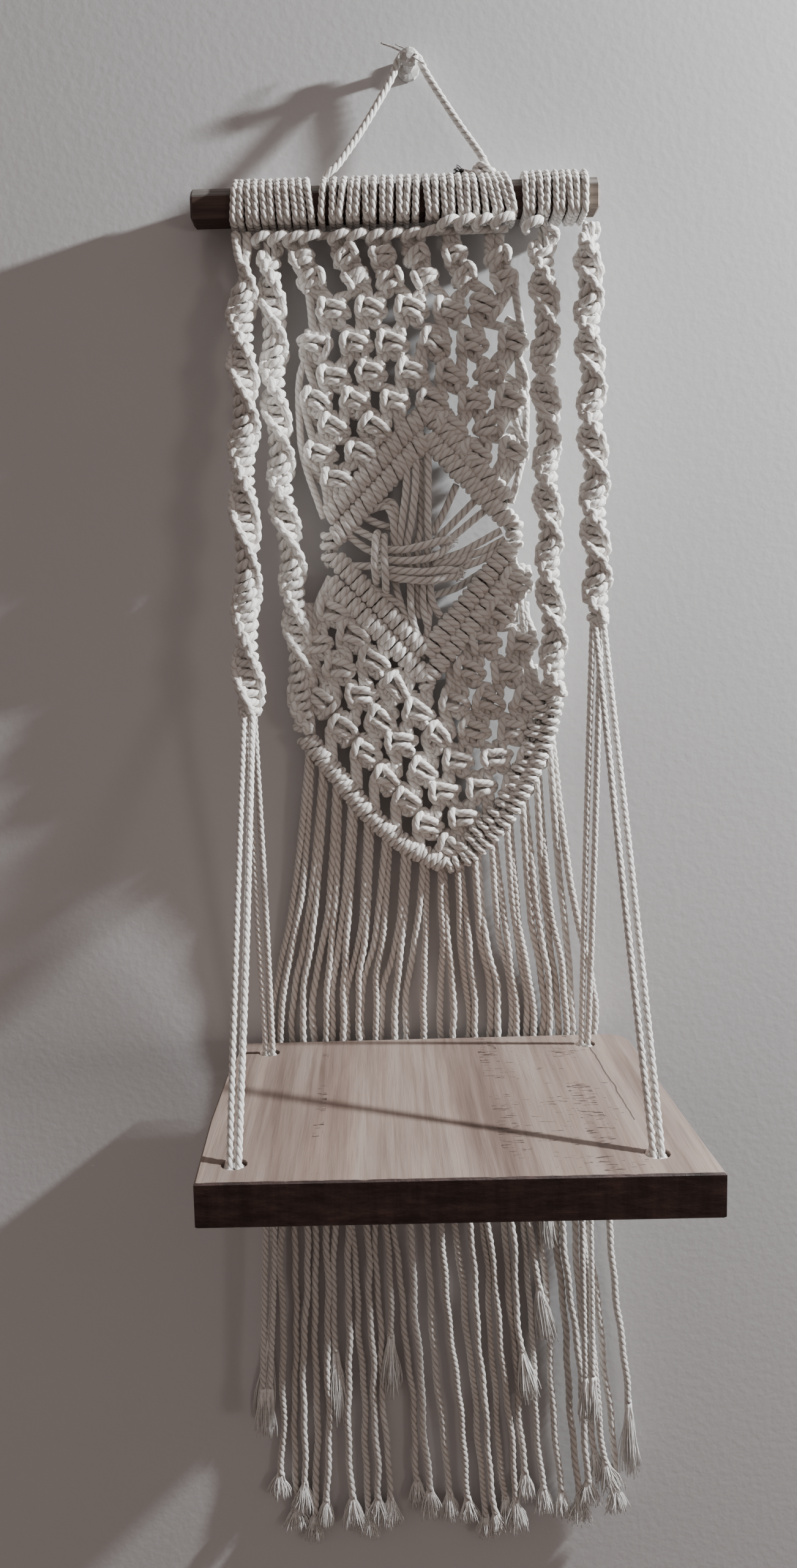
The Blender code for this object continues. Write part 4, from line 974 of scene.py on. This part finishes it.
# ---- hem and fringe ----
def fringe_route(number):
    """Centre line of one fringe cord, from inside the hem down behind the board to its end."""
    x_board, x_end, z_end = FRINGE[number]
    odd, share = number % 2, number / (len(FRINGE) - 1)
    x_root = float(np.interp(number - 0.55 * odd, *zip(*FRINGE_ROOTS)))
    z_root = height_on(HEM, x_root)
    y_root = panel_y(z_root) + 0.6
    layer = LAYERS[odd] - 1.6 * share
    y_behind = (panel_y(z_root) + layer) / 2
    sway = 0.8 * sin(1.7 * number)
    x_hang = x_board + 1.1 * sin(2.9 * number + 0.6)
    reach, drop = x_end - x_board, z_end - BOARD_LOW
    return [
        (x_root, y_root, z_root + 0.5),
        (x_root + 0.1, y_root + (1.5 if odd else -1), z_root - 12),
        (x_root + (x_board - x_root) * 0.40 + sway, y_behind, (z_root + BOARD_TOP) / 2),
        (x_hang, layer, BOARD_TOP + 20),
        (x_hang, layer, BOARD_LOW - 10),
        (x_hang + reach * 0.35 - sway, layer - 1.6 * share, BOARD_LOW + drop * 0.35),
        (x_board + reach * 0.72 + 1.4 * sway, layer - 3.2 * share, BOARD_LOW + drop * 0.72),
        (x_end, layer - 4.2 * share, z_end),
    ]


def make_fringe():
    step = 1.7
    for half, numbers in (("left", range(0, 16)), ("right", range(16, 32))):
        skin = Skin()
        for number in numbers:
            path = smooth(fringe_route(number), step)
            run = np.arange(len(path)) * step
            loose = np.clip((path[:, 2] + 400) / -60, 0, 1)
            path[:, 0] += loose * (0.55 * np.sin(run / RNG.uniform(10, 19) + number)
                                   + 0.3 * np.sin(run / RNG.uniform(4.2, 6.5) + 2 * number))
            path[:, 1] += 0.35 * np.sin(run / 9 + 2.3 * number)
            z_end = FRINGE[number][2]
            short = z_end > SHORT_END
            tassel = RNG.uniform(30, 52) if short else RNG.uniform(14, 20)
            cut = path[path[:, 2] > path[-1, 2] + tassel]
            # a low tone darkens and warms the fringe cords: painted shade
            tone = RNG.uniform(0, 0.55)
            skin.cord(cut, CORD_R * RNG.uniform(0.96, 1.06), 6, TWIST * RNG.uniform(0.9, 1.4), tone=tone)
            heading = cut[-1] - cut[-6]
            spread = RNG.uniform(5, 6.5) if short else RNG.uniform(5.4, 7.6)
            fray(skin, cut[-1] - heading * 0.2, heading, cut[-1, 2] - z_end, spread, 0.9, 3, 26, 0.32)
        if half == "left":
            coil(skin, HEM[:5], 3.8, 3.7, 3.2, -1.1, CORD_R * 1.06, 0.7, 0.08, recessed=False)
        else:
            coil(skin, HEM[4:], 4.6, 3.3, 3.2, 1.2, forward=1, recessed=False)
            inner = [(x - 5.2, z + 3.6) for x, z in HEM[5:]]
            coil(skin, inner, 5, 3, 3, 1.2, forward=0.2, uneven=0.5, recessed=False)
        skin.build("hem_fringe_" + half, COTTON, *(["hem_fringe"] if half == "left" else []))


# ---- ropes ----
def make_ropes():
    """Two cords from a band's end through each hole, held by a knot under the board."""
    for corner, (hole_x, hole_y) in HOLES.items():
        end, hand = corner.split("_")
        front = end == "front"
        top = np.array(BANDS["sennit_outer_" + hand][0][-1])
        start = top + np.array((0, (-4 if front else 4.2) * 0.7, 1))
        skin = Skin()
        for side in (-1, 1):
            hole = np.array((hole_x + side * 1.7, hole_y, BOARD_TOP))
            path = [start + (side * 2, 0, 0)]
            for share in (0.25, 0.5, 0.75):
                slack = 0.5 * sin(share * pi) * side
                aside = np.array((side * 1.8 * (1 - share) + slack, 0, 0))
                path.append(start * (1 - share) + hole * share + aside)
            path += [hole, hole + (0, 0, -10), hole + (0, 0, -19)]
            skin.cord(smooth(path, 1.5), ROPE_R, 6)
        filling = [(hole_x + 3.3 * cos(t), hole_y + 3.3 * sin(t), BOARD_TOP - 2.7)
                   for t in np.linspace(0, 6.5, 16)]
        skin.cord(smooth(filling, 1.4), 1.8)

        middle = np.array((hole_x, hole_y, BOARD_LOW))
        flat = 0.62 if front else 1
        knot = [middle + (4.1 * cos(t), 4.1 * sin(t), (-2.4 - 1.05 * t) * flat)
                for t in np.linspace(0, 2.1 * pi, 16)]
        skin.cord(smooth(knot, 1.3), 1.9)
        across = [middle + (x, y, z * flat) for x, y, z in (
            (-3.6, -2.6, -7.6), (-5, -3.6, -5), (0, -5.4, -4.2), (4.8, -3, -4.6), (3, 0.5, -8))]
        skin.cord(smooth(across, 1.3), 1.9)

        tail_x = hole_x + (0 if front else {"left": -8, "right": 2}[hand])
        tail_z, tassel = (-521, 3) if front else (-712, 30)
        stop = tail_z + tassel
        for side in (-1, 1):
            path = [middle + (side * 1.7, 0, -2), middle + (side * 1.8, 0, -3.5)]
            if not front:
                half_x, half_z = (hole_x + tail_x) / 2, (BOARD_LOW + tail_z) / 2
                path += [middle + (side * 1.8, 0, -10), (half_x + side * 2.4, hole_y + side * 0.6, half_z)]
            path.append((tail_x + side * 2, hole_y, stop))
            line = smooth(path, 1.6)
            skin.cord(line, 1.8, 6)
            if not front:
                fray(skin, line[-1], line[-1] - line[-3], tassel - 0.5, 4.2, 0.9, 3, 16, 0.30)
        skin.build(f"rope_{corner}_fine", COTTON, "rope_" + corner)


# ---- camera, light, backdrop ----
def add_object(name, data):
    made = bpy.data.objects.new(name, data)
    bpy.context.scene.collection.objects.link(made)
    return made


def wall_finish():
    """Painted wall; only its front shows, so the object's back can be seen from behind it."""
    made = plain("plain_wall", WALL_COLOUR, 0.9)
    made.set("Normal", made.bump(made.noise(260, 3), 0.00025, 0.5))
    behind = made.add("NewGeometry", "Backfacing", {})
    clear = made.add("BsdfTransparent", 0, {})
    either = made.add("MixShader", 0, {0: behind, 1: Field(made, made.shader.outputs[0]), 2: clear})
    made.feed(made.tree.nodes["Material Output"].inputs["Surface"], either)
    return made.material


def make_stage():
    mesh = bpy.data.meshes.new("backdrop")
    points = [(-WALL_WIDE, WALL_BACK, WALL_LOW), (WALL_WIDE, WALL_BACK, WALL_LOW),
              (WALL_WIDE, WALL_BACK, WALL_HIGH), (-WALL_WIDE, WALL_BACK, WALL_HIGH),
              (-WALL_WIDE, -FLOOR_DEEP, WALL_LOW), (WALL_WIDE, -FLOOR_DEEP, WALL_LOW)]
    mesh.from_pydata(points, [], [(0, 1, 2, 3), (4, 5, 1, 0)])
    mesh.materials.append(wall_finish())
    mesh.materials.append(plain("plain_floor", FLOOR_COLOUR, 0.8).material)
    mesh.polygons[1].material_index = 1
    add_object("backdrop", mesh)


def make_camera():
    pitch, yaw, roll = (radians(angle) for angle in (CAMERA_PITCH, CAMERA_YAW, CAMERA_ROLL))
    forward = Vector((sin(yaw) * cos(pitch), cos(yaw) * cos(pitch), -sin(pitch)))
    level = Vector((cos(yaw), -sin(yaw), 0))
    above = level.cross(forward)
    right = cos(roll) * level - sin(roll) * above
    up = sin(roll) * level + cos(roll) * above
    data = bpy.data.cameras.new("view")
    data.sensor_width = CAMERA_SENSOR
    data.lens = CAMERA_LENS
    camera = add_object("view", data)
    turn = Matrix((right, up, -forward)).transposed().to_4x4()
    camera.matrix_world = Matrix.Translation(CAMERA_SPOT) @ turn
    bpy.context.scene.camera = camera


def make_light():
    for name, spot, target, size, power, colour in LAMPS:
        data = bpy.data.lights.new(name, "AREA")
        data.shape = "DISK"
        data.size = size
        data.energy = power
        data.color = colour
        lamp = add_object(name, data)
        lamp.location = spot
        lamp.rotation_euler = (Vector(target) - Vector(spot)).to_track_quat("-Z", "Y").to_euler()
    world = bpy.data.worlds.new("soft")
    bpy.context.scene.world = world
    world.use_nodes = True
    sky = Nodes(world.node_tree)
    up = sky.axes("Generated")[2]
    background = world.node_tree.nodes["Background"]
    sky.feed(background.inputs["Color"], sky.ramp(up * 0.5 + 0.5, *SKY))
    background.inputs["Strength"].default_value = SKY_STRENGTH


def dress_rigid():
    finishes = {"shelf_board": board_wood(), "top_bar": bar_wood(), "wall_peg": peg_paint()}
    for node, finish in finishes.items():
        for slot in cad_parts[node].material_slots:
            slot.material = finish


dress_rigid()
make_wraps()
make_hanging_cord()
for band in BANDS:
    make_band(band)
make_panel()
make_fringe()
make_ropes()
make_stage()
make_camera()
make_light()
